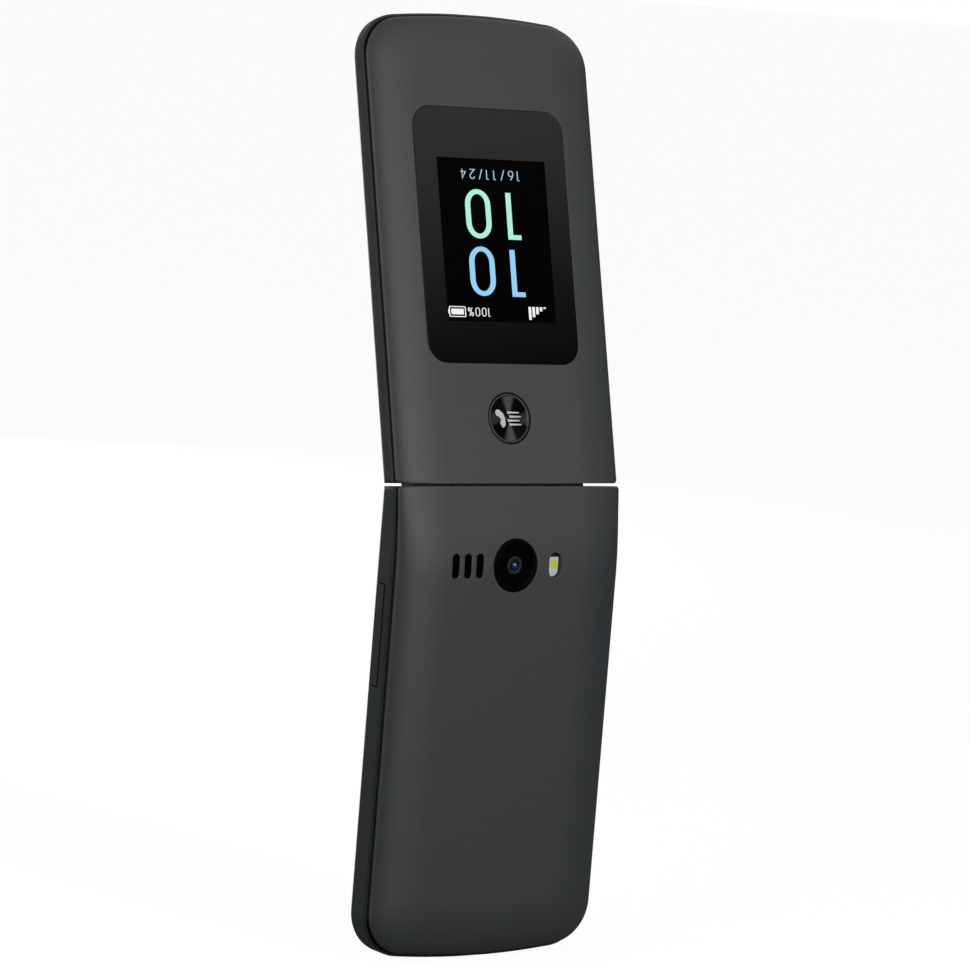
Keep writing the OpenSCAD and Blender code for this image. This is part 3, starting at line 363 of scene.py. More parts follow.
def soften(piece, width_mm, chosen_edges=False):
    """Shade a piece smoothly; round its sharp or chosen edges, or keep all crisp at width zero."""
    weld = piece.modifiers.new("join faces", "WELD")
    weld.merge_threshold = WELD_MM * MM
    if width_mm:
        bevel = piece.modifiers.new("soft edges", "BEVEL")
        bevel.width = width_mm * MM
        bevel.segments = 2
        bevel.limit_method = "WEIGHT" if chosen_edges else "ANGLE"
        bevel.angle_limit = SHARP
        bevel.use_clamp_overlap = False
    else:
        crisp = piece.modifiers.new("crisp edges", "EDGE_SPLIT")
        crisp.split_angle = SHARP
    piece.modifiers.new("flat faces stay flat", "WEIGHTED_NORMAL").keep_sharp = True
    piece.data.shade_smooth()


def dress(material, edge_mm, *nodes):
    """Give solids a finish and round their edges by a width."""
    for name in nodes:
        solid = frame["nodes"][name]
        solid.data.materials.clear()
        solid.data.materials.append(material)
        if solid.data.has_custom_normals:
            solid.data.attributes.remove(solid.data.attributes["custom_normal"])
        soften(solid, edge_mm)


NUMBER_KEYS = ["key_" + mark for mark in "1 2 3 4 5 6 7 8 9 star 0 hash".split()]
SIDE_KEYS = ["key_soft_left", "key_soft_right", "key_call", "key_end", "key_clear"]
dress(FRAME_PLASTIC, 0, "keypad_housing", "lid_inner_housing")
dress(FRAME_PLASTIC, 0.15, "volume_key")
dress(KEY_PLASTIC, 0.22, *NUMBER_KEYS, *SIDE_KEYS)
dress(CHROME, 0.3, "nav_ring", "key_ok")
dress(WINDOW_ACRYLIC, 0.04, "outer_window", "inner_glass")
dress(LENS_BLACK, 0.18, "camera_ring")
dress(CAMERA_GLASS, 0.05, "camera_window")
dress(FLASH_LENS, 0.1, "flash_lens")
dress(HOUSING_NYLON, 0, "rear_housing", "camera_module", "headset_socket")
dress(DISPLAY_GLASS, 0, "inner_display", "outer_display")
dress(RUBBER, 0.1, "lid_bumpers", "nav_actuator")
dress(SOLDER_MASK, 0, "main_board", "lid_board", "volume_switches")
dress(POLYIMIDE, 0, "hinge_flex")
dress(STEEL, 0, "shield_can", "dome_sheet", "usb_socket", "sim_holder", "vibration_motor",
      "earpiece", "earpiece_mesh", "loudspeaker")
dress(HOUSING_NYLON, 0, "speaker_mesh")
dress(HINGE_STEEL, 0, "hinge_cam", "hinge_cartridge", "hinge_bush", "base_screws", "lid_screws")
dress(MAGNESIUM, 0, "lid_chassis")
dress(BATTERY_SLEEVE, 0.2, "battery")
dress(GOLD, 0, "battery_contacts")
dress(PHOSPHOR, 0, "flash_led")
print("number keys:", len(NUMBER_KEYS), "other keys:", len(SIDE_KEYS))

# %% [markdown]
# ## Building meshes
#
# Every piece below is made from points and faces in a half's own millimetres. A few functions
# turn them into an object: they move the points to the world, join points that meet, turn all
# faces outward, and let the object ride on the body that carries it. Most pieces are plates with
# an outline of straight lines and arcs, so those have small functions too.

# %% From points to a piece
MEET_MM = 0.001        # points nearer to each other than this become one


def mesh_of(name, half, points, faces):
    """Mesh from points in a half's millimetres, joined up and with its faces turned outward."""
    mesh = bpy.data.meshes.new(name)
    mesh.from_pydata([half @ Vector(point) for point in points], [], faces)
    work = bmesh.new()
    work.from_mesh(mesh)
    bmesh.ops.remove_doubles(work, verts=work.verts, dist=MEET_MM * MM)
    bmesh.ops.recalc_face_normals(work, faces=work.faces)
    work.to_mesh(mesh)
    work.free()
    return mesh


def add_object(name, data):
    """Put an object with that data into the scene."""
    item = bpy.data.objects.new(name, data)
    bpy.context.scene.collection.objects.link(item)
    return item


def build(name, half, points, faces, body, material):
    """Piece from points in a half's millimetres, riding on a body."""
    piece = add_object(name, mesh_of(name, half, points, faces))
    piece.data.materials.append(material)
    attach(piece, body)
    return piece


def paint_faces(piece, half, material, chosen):
    """Give a second material to the faces whose corners, in a half's millimetres, are all chosen."""
    mesh = piece.data
    mesh.materials.append(material)
    back = half.inverted()
    spots = [back @ vertex.co for vertex in mesh.vertices]
    painted = [face for face in mesh.polygons if all(chosen(spots[k]) for k in face.vertices)]
    for face in painted:
        face.material_index = 1
    return len(painted)


print("points closer than %.3f mm become one" % MEET_MM)

# %% Outlines and plates


def arc(x, y, rx, ry, start, end, steps=10):
    """Points along an arc, from one angle to another in degrees."""
    angles = [math.radians(start + (end - start) * k / steps) for k in range(steps + 1)]
    return [(x + rx * math.cos(a), y + ry * math.sin(a)) for a in angles]


def circle(x, s, r, steps):
    """Outline of a circle about a middle."""
    return arc(x, s, r, r, 0, 360, steps)[:-1]


def round_box(x, s, width, length, r, steps=8):
    """Outline of a rectangle with round corners about a middle."""
    dx = width / 2 - r
    ds = length / 2 - r
    outline = []
    for cx, cs, turn in ((dx, ds, 0), (-dx, ds, 90), (-dx, -ds, 180), (dx, -ds, 270)):
        outline += arc(x + cx, s + cs, r, r, turn, turn + 90, steps)
    return outline


def add_plate(points, faces, outline, z0, z1):
    """Add a flat plate with that outline between two heights."""
    first = len(points)
    count = len(outline)
    points += [(x, s, z0) for x, s in outline]
    points += [(x, s, z1) for x, s in outline]
    faces.append([first + k for k in range(count)])
    faces.append([first + count + k for k in reversed(range(count))])
    for k in range(count):
        after = (k + 1) % count
        faces.append([first + k, first + after, first + count + after, first + count + k])


print("a box with four round corners has", len(round_box(0, 0, 10, 6, 1)), "points")

# %% [markdown]
# ## The curved covers
#
# Each outer cover is a thin shell. Its edge rolls over in a long soft curve at the sides and in a
# shorter one at the free end, which bows out a little. The back falls away near the hinge. A loft
# suits that: rings of points run round the half, each a little higher and further in than the one
# before, and faces join one ring to the next. The same formula made the solids; here it has more
# rings, so the light runs over the edge without a step.

# %% Sizes of the covers, in millimetres
CORNER_R = 9.5         # corners at the free end, seen from the back
BOW_R = 207            # bow of the free end
END_GAP = 0.6          # gap between the halves at the hinge
END_R = 0.8            # round upright corners at the hinge
END_WALL = 3           # wall at the hinge end
GROOVE_IN = 0.55       # skirt under the cover's edge along the sides
GROOVE_END_IN = 1.2    # and at the free end
GROOVE_H = 1.05        # height of the groove between frame and cover
COVER_IN = 0.25        # the cover stands this far inside the frame along the sides
COVER_END_IN = 0.95    # and this far at the free end
SKIRT_IN = 1.45        # inner face of the skirt
SNUG = 0.05            # gap between the skirt and the frame under it
EDGE_SIDE = 12         # width of the rolled edge along the sides
LID_EDGE_END = 8       # width of the rolled edge at the lid's free end
BASE_EDGE_END = 13     # and at the base's
COVER_WALL = 1.4
LID_FRAME_H = 4.15
BASE_FRAME_H = 6.4
BACK_DIP = 2.6         # fall of the back at the hinge
SEAM_DIP = 1.35        # fall of the frame's seam at the hinge
DIP_FROM = 8           # the fall bends between these distances
DIP_TO = 19
DIP_MID = (DIP_FROM + DIP_TO) / 2
print("covers: corners %.1f mm, wall %.1f mm" % (CORNER_R, COVER_WALL))

# %% Rings of a cover
END_STEPS = 6          # points round the corner at the hinge,
BEND_STEPS = 24        # along the side where the back falls away,
SIDE_STEPS = 8         # along the straight side,
CORNER_STEPS = 16      # round the free corner
BOW_STEPS = 8          # and along half of the bowed end
EDGE_RINGS = 18


def fall(s):
    """Share of the dip at a distance from the hinge: straight, then a bend."""
    if s < DIP_FROM:
        return 1 - s / DIP_MID
    if s < DIP_TO:
        return (DIP_TO - s) ** 2 / (2 * (DIP_TO - DIP_FROM) * DIP_MID)
    return 0


def end_at(reach, z, dip):
    """Distance from the hinge of the slanted end face, for a ring at height z."""
    tilt = math.tan(lean / 2)
    return (reach / math.cos(lean / 2) - tilt * (z - dip - AXIS_Z)) / (1 + tilt * dip / DIP_MID)


def ring(side_in, end_in, corner_r, z, dip, wall=0):
    """Closed loop of points at one level: hinge corner, side, free corner, bow and back."""
    half = PHONE_W / 2 - side_in
    mid = HALF_LEN - end_in - BOW_R
    cx = half - corner_r
    cy = mid + math.sqrt((BOW_R - corner_r) ** 2 - cx ** 2)
    turn = math.degrees(math.atan2(cy - mid, cx))
    right = []
    for k in range(END_STEPS + 1):
        a = math.radians(90 * k / END_STEPS)
        reach = END_GAP / 2 + wall + END_R * (1 - math.cos(a))
        right.append((half - END_R + END_R * math.sin(a), end_at(reach, z, dip)))
    start = right[-1][1]
    right += [(half, start + (DIP_TO - start) * k / BEND_STEPS) for k in range(1, BEND_STEPS + 1)]
    right += [(half, DIP_TO + (cy - DIP_TO) * k / SIDE_STEPS) for k in range(1, SIDE_STEPS)]
    right += arc(cx, cy, corner_r, corner_r, 0, turn, CORNER_STEPS)
    right += arc(0, mid, BOW_R, BOW_R, turn, 90, BOW_STEPS)[1:]
    left = [(-x, s) for x, s in reversed(right[:-1])]
    return [(x, s, z - dip * fall(s)) for x, s in right + left]


def edge_rings(inset, end_in, end_w, z0, z1, dip0, dip1, wall=0):
    """Rings over the rolled edge, from its foot to the flat of the face."""
    rings = []
    for k in range(EDGE_RINGS + 1):
        rise = math.sin(math.radians(90 * k / EDGE_RINGS))
        run = 1 - math.cos(math.radians(90 * k / EDGE_RINGS))
        side = (EDGE_SIDE - inset) * run
        end = end_in + (end_w - end_in) * run
        rings.append(ring(inset + side, end, CORNER_R - inset - side / 2,
                          z0 + (z1 - z0) * rise, dip0 + (dip1 - dip0) * rise, wall))
    return rings


print("points in each ring:", len(ring(COVER_IN, COVER_END_IN, CORNER_R, LID_FRAME_H, 0)))

# %% The two covers


def dome(points, faces, rings):
    """Join rings into a dome, closed over its last ring; return the first ring's points."""
    count = len(rings[0])
    first = len(points)
    for loop in rings:
        points += loop
    for level in range(len(rings) - 1):
        low = first + level * count
        high = low + count
        for k in range(count):
            after = (k + 1) % count
            faces.append([low + k, low + after, high + after, high + k])
    top = first + (len(rings) - 1) * count
    apex = count // 2
    for k in range(apex - 1):
        faces.append([top + k, top + k + 1, top + count - 2 - k, top + count - 1 - k])
    faces.append([top + apex - 1, top + apex, top + apex + 1])
    return [first + k for k in range(count)]


def cover(name, half, frame_h, face, dip0, dip1, end_w, body):
    """Shell of a cover: an outer and an inner dome, joined by the rim of its skirt, which gets painted
    shade.
    """
    points = []
    faces = []
    foot = frame_h + GROOVE_H
    outside = [ring(GROOVE_IN, GROOVE_END_IN, CORNER_R - GROOVE_IN, z, dip0)
               for z in (frame_h + SNUG, foot)]
    outside += edge_rings(COVER_IN, COVER_END_IN, end_w, foot, face, dip0, dip1)
    inside = [ring(SKIRT_IN, SKIRT_IN, CORNER_R - SKIRT_IN, frame_h + SNUG, dip0, END_WALL)]
    inside += edge_rings(SKIRT_IN, SKIRT_IN, end_w, foot, face - COVER_WALL, dip0, dip1, END_WALL)
    outer = dome(points, faces, outside)
    inner = dome(points, faces, inside)
    for k in range(len(outer)):
        after = (k + 1) % len(outer)
        faces.append([outer[k], inner[k], inner[after], outer[after]])

    def on_skirt(spot):
        return spot.z + dip0 * fall(spot.y) < foot + SNUG

    piece = build(name, half, points, faces, body, COVER_PAINT)
    # Painted shade: the skirt's faces down in the groove get near-black
    paint_faces(piece, half, PAINTED_GROOVE_SHADE, on_skirt)
    return piece


lid_cover = cover("lid_cover", LID, LID_FRAME_H, LID_T, 0, 0, LID_EDGE_END, "lid")
back_cover = cover("back_cover", BASE, BASE_FRAME_H, BASE_T, SEAM_DIP, BACK_DIP, BASE_EDGE_END,
                   "battery_cover")
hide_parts("lid_outer_cover")
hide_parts("battery_cover")
print("faces of the covers:", len(lid_cover.data.polygons), len(back_cover.data.polygons))

# %% [markdown]
# ## Painted shade on the seam at the free ends
#
# At the free ends a narrow ledge of the frame shows beside the cover's edge, down in the groove.
# It gets painted shade, a thin dark line along the end. Only a few faces of the solid need that,
# so they get a second material, and the shape stays as it is.

# %% Painted shade on the seam
SEAM_REACH = 0.05      # faces this close to the seam's height belong to it


def paint_seam_shade(node, half, frame_h):
    """Give the frame's ledge at the free end a near-black painted shade."""

    def on_ledge(spot):
        return abs(spot.z - frame_h) < SEAM_REACH and spot.y > HALF_LEN - CORNER_R

    return paint_faces(frame["nodes"][node], half, PAINTED_GROOVE_SHADE, on_ledge)


print("seam faces:", paint_seam_shade("lid_inner_housing", LID, LID_FRAME_H),
      paint_seam_shade("keypad_housing", BASE, BASE_FRAME_H))

# %% [markdown]
# ## Openings in the covers
#
# The window, the round key, the camera, the speaker slots and the flash each need an opening, and
# a small notch at the free end lets a fingernail lift the cover. A Boolean takes each one out. The
# places come from the solids that fill them, with the small gap that a real assembly has. After
# the cuts, a narrow bevel breaks the edges, as a moulding tool would. The edges right at the hinge
# stay crisp, because two slanted faces and the fall of the back meet there too closely for it.

# %% Sizes of the openings
FIT = 0.1              # gap round the pieces in the battery cover
KEY_GAP = 0.15         # gap round the round key
LEDGE = 1.2            # the window rests on this much of the cover
SEAT_GAP = 0.02        # and this far above it
SEAT_OVERLAP = 0.1     # the two cuts of the window overlap by about this
WINDOW_R = 4.5
QUICK_R = 5.4
SLOT_PITCH = 3.08
SLOT_W = 1.73
SLOT_LEN = 5.2
NOTCH_W = 11.7
NOTCH_H = 1.3
NOTCH_DEPTH = 1.2
THROUGH = 3            # reach of a cutter past the shell
HOLE_STEPS = 64        # straight steps round a round hole
HAIR = 0.01            # keeps the two arcs of a round end apart
COVER_EDGE_MM = 0.14   # bevel of the covers' edges
HINGE_STRIP = 4        # edges nearer the hinge than this stay crisp
FLAT = math.radians(0.1)    # faces that meet at less than this become one
print("speaker slot %.2f x %.1f mm" % (SLOT_W, SLOT_LEN))

# %% How a cover is cut


def node_outline(node, half, r, grow):
    """Round-cornered outline about a solid, a little larger than the solid."""
    low, high = local_box(node, half)
    mid = (low + high) / 2
    size = high - low
    return round_box(mid.x, mid.y, size.x + 2 * grow, size.y + 2 * grow, r + grow)


def choose_edges(mesh, half):
    """Join faces that lie flat to each other, and choose the sharp edges that get a bevel."""
    work = bmesh.new()
    work.from_mesh(mesh)
    bmesh.ops.dissolve_limit(work, angle_limit=FLAT, verts=work.verts, edges=work.edges)
    weight = work.edges.layers.float.new("bevel_weight_edge")
    back = half.inverted()
    for edge in work.edges:
        if edge.is_manifold and edge.calc_face_angle() > SHARP:
            from_hinge = min((back @ vertex.co).y for vertex in edge.verts)
            edge[weight] = float(from_hinge > HINGE_STRIP)
            edge.smooth = from_hinge > HINGE_STRIP
    work.to_mesh(mesh)
    work.free()


def cut(piece, half, openings):
    """Take prisms with those outlines, from z0 to z1, out of a piece, and soften its edges."""
    cutters = []
    for outline, z0, z1 in openings:
        points = []
        faces = []
        add_plate(points, faces, outline, z0, z1)
        cutter = add_object("cutter", mesh_of("cutter", half, points, faces))
        boolean = piece.modifiers.new("opening", "BOOLEAN")
        boolean.operation = "DIFFERENCE"
        boolean.solver = "EXACT"
        boolean.object = cutter
        cutters.append(cutter)
    bpy.context.view_layer.update()
    shape = piece.evaluated_get(bpy.context.evaluated_depsgraph_get())
    cut_mesh = bpy.data.meshes.new_from_object(shape)
    choose_edges(cut_mesh, half)
    piece.modifiers.clear()
    piece.data = cut_mesh
    for cutter in cutters:
        bpy.data.objects.remove(cutter)
    soften(piece, COVER_EDGE_MM, chosen_edges=True)


print("bevel %.2f mm, but none within %d mm of the hinge" % (COVER_EDGE_MM, HINGE_STRIP))

# %% Openings of the lid's cover
window_low, window_high = local_box("outer_window", LID)
quick_at = middle("quick_key", LID)
cut(lid_cover, LID, [
    (node_outline("outer_window", LID, WINDOW_R, FIT / 2), window_low.z - SEAT_GAP, LID_T + THROUGH),
    (node_outline("outer_window", LID, WINDOW_R, -LEDGE), LID_FRAME_H, window_low.z + SEAT_OVERLAP),
    (circle(quick_at.x, quick_at.y, QUICK_R + KEY_GAP, HOLE_STEPS), LID_FRAME_H, LID_T + THROUGH)])
print("faces of the lid's cover after the cuts:", len(lid_cover.data.polygons))

# %% Openings of the battery cover
camera_at = middle("camera_ring", BASE)
camera_r = local_box("camera_ring", BASE)[1].x
slots_at = middle("speaker_mesh", BASE)
flash_low, flash_high = local_box("flash_lens", BASE)
flash_at = (flash_low + flash_high) / 2
slot_outlines = [round_box(slots_at.x + k * SLOT_PITCH, camera_at.y, SLOT_W, SLOT_LEN,
                           SLOT_W / 2 - HAIR) for k in (-1, 0, 1)]
notch_s = HALF_LEN - NOTCH_DEPTH - COVER_IN
notch = [(-NOTCH_W / 2, notch_s), (NOTCH_W / 2, notch_s), (NOTCH_W / 2, HALF_LEN + 1),
         (-NOTCH_W / 2, HALF_LEN + 1)]
openings = [
    (circle(camera_at.x, camera_at.y, camera_r + FIT, HOLE_STEPS), BASE_FRAME_H, BASE_T + THROUGH),
    (node_outline("flash_lens", BASE, flash_high.x - flash_at.x - HAIR, FIT), BASE_FRAME_H,
     BASE_T + THROUGH),
    (notch, BASE_FRAME_H - 1, BASE_FRAME_H + NOTCH_H)]
openings += [(outline, BASE_FRAME_H, BASE_T + THROUGH) for outline in slot_outlines]
cut(back_cover, BASE, openings)
print("faces of the battery cover after the cuts:", len(back_cover.data.polygons))

# %% [markdown]
# ## Cloth behind the speaker slots
#
# Behind the slots lies a woven acoustic cloth that keeps dust out. Its weave is much too fine to
# show at this size, so it is drawn as plain, fully dull black plates, one in each slot.

# %% Black acoustic cloth
CLOTH_DEPTH = 0.35     # the cloth lies this far under the back
SPEAKER_CLOTH = finish("black_acoustic_cloth", "#010101", Roughness=1.0, Specular_IOR_Level=0.0)
cloth_points = []
cloth_faces = []
for outline in slot_outlines:
    add_plate(cloth_points, cloth_faces, outline, BASE_T - COVER_WALL, BASE_T - CLOTH_DEPTH)
build("speaker_cloth", BASE, cloth_points, cloth_faces, "battery_cover", SPEAKER_CLOTH)
print("slots covered:", len(slot_outlines))

# %% [markdown]
# ## The round key on the lid
#
# This key is a turned disc with a dark chamfered rim and a very shallow dish. Anything turned on
# a lathe is easiest to make the same way: a profile of distances from the middle and heights,
# carried once round.

# %% Turned pieces
TURN_STEPS = 96


def turned(name, half, at, profile, body, material):
    """Piece turned about the outward direction, from (radius, height) points at a middle."""
    points = []
    faces = []
    for radius, height in profile:
        points += [(x, s, height) for x, s in circle(at.x, at.y, radius, TURN_STEPS)]
    for level in range(len(profile) - 1):
        low = level * TURN_STEPS
        for k in range(TURN_STEPS):
            after = (k + 1) % TURN_STEPS
            faces.append([low + k, low + after, low + TURN_STEPS + after, low + TURN_STEPS + k])
    piece = build(name, half, points, faces, body, material)
    piece.data.shade_smooth()
    return piece


print("steps round a turned piece:", TURN_STEPS)

# %% The round key
RIM_FROM = 4.8         # the turned disc ends just outside this radius, where the rim begins
FLANGE_R = 6.1         # a flange under the cover keeps the key in
FLANGE_T = 0.45
DISH = 0.2             # depth of the dish where the mark is printed
KEY_FACE = [(QUICK_R, 0.3), (5.2, 0.05), (5.0, 0), (4.85, 0.06), (4.7, 0.14), (4.6, 0.143),
            (2.5, DISH), (0, 0.22)]    # radius, and depth under the key's highest line
quick_low, quick_high = local_box("quick_key", LID)
flange_z = quick_low.z + FLANGE_T
quick_profile = [(0, quick_low.z), (FLANGE_R, quick_low.z), (FLANGE_R, flange_z), (QUICK_R, flange_z)]
quick_profile += [(radius, quick_high.z - depth) for radius, depth in KEY_FACE]
quick_disc = turned("quick_key_disc", LID, quick_at, quick_profile, "quick_key",
                    SPUN_ALUMINIUM_PAINTED_HIGHLIGHTS)


def on_rim(spot):
    """Whether a corner of the round key's faces belongs to its rim."""
    return math.hypot(spot.x - quick_at.x, spot.y - quick_at.y) > RIM_FROM


rim_faces = paint_faces(quick_disc, LID, KEY_RIM, on_rim)
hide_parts("quick_key")
QUICK_FACE_Z = quick_high.z - DISH
print("round key: radius %.1f mm, %d faces in its rim" % (QUICK_R, rim_faces))

# %% [markdown]
# ## Marks drawn with strokes
#
# The numbers and signs on the screens and keys are thin strokes, so they are drawn as a pen would
# draw them: each sign is a few paths in a box that is one unit high, and each path becomes a
# ribbon, a little narrower where it runs across. The ribbons are real, very thin plates that lie
# on the surface.

# %% A small stroke alphabet of numbers and signs
BOWL = 0.3             # half the width of a round number
PEN_FLAT = 0.75        # strokes that run across are thinner than upright ones


def signs():
    """Paths of each sign in a box one unit high; up is +y and the pen's middle is the path."""
    low_bowl = arc(BOWL, 0.3, BOWL, 0.3, 90, 450, 24)
    high_bowl = arc(BOWL, 0.72, 0.26, 0.28, -90, 270, 24)
    zero = arc(BOWL, 0.7, BOWL, 0.3, 0, 180, 12) + arc(BOWL, 0.3, BOWL, 0.3, 180, 360, 12)
    return {
        "0": [zero + [zero[0]]],
        "1": [[(0.1, 1), (0.36, 1), (0.36, 0)]],
        "2": [arc(BOWL, 0.7, BOWL, 0.3, 170, -30, 12) + [(0, 0), (2 * BOWL, 0)]],
        "3": [arc(0.28, 0.74, 0.27, 0.26, 160, -90, 12), arc(0.28, 0.24, 0.3, 0.24, 90, -160, 12)],
        "4": [[(0.44, 0), (0.44, 1), (0, 0.27), (0.62, 0.27)]],
        "5": [[(0.55, 1), (0.08, 1), (0.04, 0.56)] + arc(0.28, 0.31, 0.3, 0.31, 140, -150, 14)],
        "6": [low_bowl, [(0, 0.33), (0.06, 0.6), (0.36, 1)]],
        "7": [[(0, 1), (0.56, 1), (0.2, 0)]],
        "8": [low_bowl, high_bowl],
        "9": [arc(BOWL, 0.7, BOWL, 0.3, -90, 270, 24), [(0.6, 0.67), (0.54, 0.4), (0.24, 0)]],
        "/": [[(0, -0.08), (0.42, 1.05)]],
        "%": [arc(0.14, 0.78, 0.14, 0.2, 0, 360, 16), arc(0.62, 0.22, 0.14, 0.2, 0, 360, 16),
              [(0.16, 0), (0.6, 1)]],
        "*": [[(0.3, 0.2), (0.3, 0.8)], [(0.04, 0.35), (0.56, 0.65)], [(0.04, 0.65), (0.56, 0.35)]],
        "#": [[(0.16, 0), (0.28, 1)], [(0.42, 0), (0.54, 1)], [(0, 0.32), (0.64, 0.32)],
              [(0.06, 0.68), (0.7, 0.68)]],
    }


SIGNS = signs()
print("signs:", "".join(SIGNS))

# %% From strokes to ribbons
SHARPEST = 0.4         # keeps the mitre of a sharp corner short


def offset_line(path, reach, closed):
    """The path moved sideways by a reach, with mitred corners."""
    moved = []
    last = len(path) - 1
    for k, (x, y) in enumerate(path):
        before = path[k - 1] if k else (path[-2] if closed else None)
        after = path[k + 1] if k < last else (path[1] if closed else None)
        sides = []
        for a, b in ((before, (x, y)), ((x, y), after)):
            if a and b:
                run = Vector((b[0] - a[0], b[1] - a[1])).normalized()
                sides.append(Vector((-run.y, run.x)))
        side = sum(sides, Vector((0, 0))).normalized()
        stretch = 1 / max(side.dot(sides[0]), SHARPEST)
        moved.append((x + side.x * reach * stretch, y + side.y * reach * stretch * PEN_FLAT))
    return moved


def add_ribbon(points, faces, path, width, z0, z1):
    """Add a ribbon along a path, with square ends, between two heights."""
    closed = math.dist(path[0], path[-1]) < 1e-6
    left = offset_line(path, width / 2, closed)
    right = offset_line(path, -width / 2, closed)
    first = len(points)
    for near, far in zip(left, right):
        points += [(*near, z0), (*far, z0), (*near, z1), (*far, z1)]
    last = len(path) - 1
    for k in range(last):
        a = first + 4 * k
        b = a + 4
        faces += [[a, a + 1, b + 1, b], [a + 2, b + 2, b + 3, a + 3], [a, b, b + 2, a + 2],
                  [a + 1, a + 3, b + 3, b + 1]]
    if not closed:
        end = first + 4 * last
        faces += [[first, first + 2, first + 3, first + 1], [end, end + 1, end + 3, end + 2]]


print("corners of a straight ribbon:", 2 * len(offset_line([(0, 0), (1, 0)], 1, False)))

# %% Rows of signs
CASE_PEN = 0.26        # line of the battery sign
CASE_ROOM = 0.9        # its bar is this much smaller than the case


def sign_width(sign):
    """Width of a sign that is one unit high, between the middles of its outer strokes."""
    return max(x for path in SIGNS[sign] for x, y in path)


def add_signs(points, faces, text, at, foot, tall, up, pen, levels, share, gap):
    """Add signs in a row toward -x; foot and tall count to the pen's middle, up is 1 or -1."""
    for sign in text:
        for path in SIGNS[sign]:
            spots = [(at - x * tall * share, foot + up * y * tall) for x, y in path]
            add_ribbon(points, faces, spots, pen, *levels)
        at -= sign_width(sign) * tall * share + gap


def add_text(points, faces, text, left, bottom, height, pen, levels, share=1.0, gap=1.0):
    """Add signs in a row, read with +x to the left and the hinge upward."""
    thin = pen * PEN_FLAT
    add_signs(points, faces, text, left - pen / 2, bottom - thin / 2, height - thin, -1, pen,
              levels, share, gap)


def add_battery(points, faces, x, s, width, height, levels):
    """Add the sign for a full battery: its case in outline, and a bar inside."""
    case = round_box(x, s, width, height, 0.2, 3)
    add_ribbon(points, faces, case + [case[0]], CASE_PEN, *levels)
    bar = round_box(x, s, width - CASE_ROOM, height - CASE_ROOM, 0.1, 2)
    add_plate(points, faces, bar, *levels)


print("width of a 0 beside its height: %.2f" % sign_width("0"))

# %% [markdown]
# ## The clock on the outer screen
#
# The outer screen is meant to be read with the lid closed, so on the open phone it is upside
# down. It shows the hour in light blue and the minutes in mint, a date in numbers, the charge and
# the signal. All marks lie on the dark picture area, a hair above the gloss of the window.

# %% Sizes of the outer screen's picture
SCREEN_Z = window_high.z
PIXEL_Z = (SCREEN_Z + 0.006, SCREEN_Z + 0.012)
PICTURE = (28.2, 35.0)      # size of the lit area
PICTURE_S = 51.2            # its middle, from the hinge
BIG_H = 10.6                # height of the clock's numbers
BIG_PEN = 1.36
ONE_X = 8.34                # left edges of the 1 and the 0
ZERO_X = -0.98
ONE_SHARE = 1.12            # their widths beside the alphabet's
ZERO_SHARE = 0.91
HOUR_S = 49.8               # feet of the two rows, from the hinge
MINUTES_S = 62.1
DATE_ROW = (7.5, 66.4, 2.15, 0.24)      # left edge, foot, height and pen
DATE_GAP = 1.16
CHARGE_ROW = (-2.75, 36.7, 1.9, 0.22)
CHARGE_SHARE = 0.94
CHARGE_GAP = 0.68
BATTERY_AT = (-11.5, 35.72)
BATTERY_SIZE = (4.1, 2.1)
BATTERY_POLE_X = -13.75
BARS_FROM = (7.4, 37.13)    # foot of the tallest signal bar
BAR_STEP = 0.98
BAR_W = 0.68
BAR_HEIGHTS = (2.8, 2.2, 1.55, 0.9, 0.35)
print("lit area %.1f x %.1f mm" % PICTURE)

# %% Outer screen


def marks(name, half, body, material, draw):
    """One piece that holds all the marks that a drawing function adds."""
    points = []
    faces = []
    draw(points, faces)
    build(name, half, points, faces, body, material)


def picture_area(points, faces):
    """The dark area that the outer screen's picture fills."""
    add_plate(points, faces, round_box(0, PICTURE_S, *PICTURE, 0.3), SCREEN_Z - 0.1, SCREEN_Z + 0.004)


def big_ten(foot):
    """Function that draws a large 10 with its foot at a distance from the hinge."""

    def draw(points, faces):
        add_text(points, faces, "1", ONE_X, foot, BIG_H, BIG_PEN, PIXEL_Z, ONE_SHARE)
        add_text(points, faces, "0", ZERO_X, foot, BIG_H, BIG_PEN, PIXEL_Z, ZERO_SHARE)

    return draw


def date(points, faces):
    """Date in numbers."""
    add_text(points, faces, "16/11/24", *DATE_ROW, PIXEL_Z, gap=DATE_GAP)


def status(points, faces):
    """Charge in numbers, battery sign and signal bars."""
    add_text(points, faces, "100%", *CHARGE_ROW, PIXEL_Z, CHARGE_SHARE, CHARGE_GAP)
    add_battery(points, faces, *BATTERY_AT, *BATTERY_SIZE, PIXEL_Z)
    add_plate(points, faces, round_box(BATTERY_POLE_X, BATTERY_AT[1], 0.3, 0.9, 0.1, 2), *PIXEL_Z)
    for k, reach in enumerate(BAR_HEIGHTS):
        bar = round_box(BARS_FROM[0] + BAR_STEP * k, BARS_FROM[1] - reach / 2, BAR_W, reach, 0.05, 2)
        add_plate(points, faces, bar, *PIXEL_Z)


marks("outer_picture", LID, "lid", LIT_BLACK, picture_area)
marks("clock_hour", LID, "lid", LIT_BLUE, big_ten(HOUR_S))
marks("clock_minutes", LID, "lid", LIT_MINT, big_ten(MINUTES_S))
marks("clock_date", LID, "lid", LIT_PALE, date)
marks("status_signs", LID, "lid", LIT_WHITE, status)
print("marks lie %.3f mm above the window" % (PIXEL_Z[0] - SCREEN_Z))

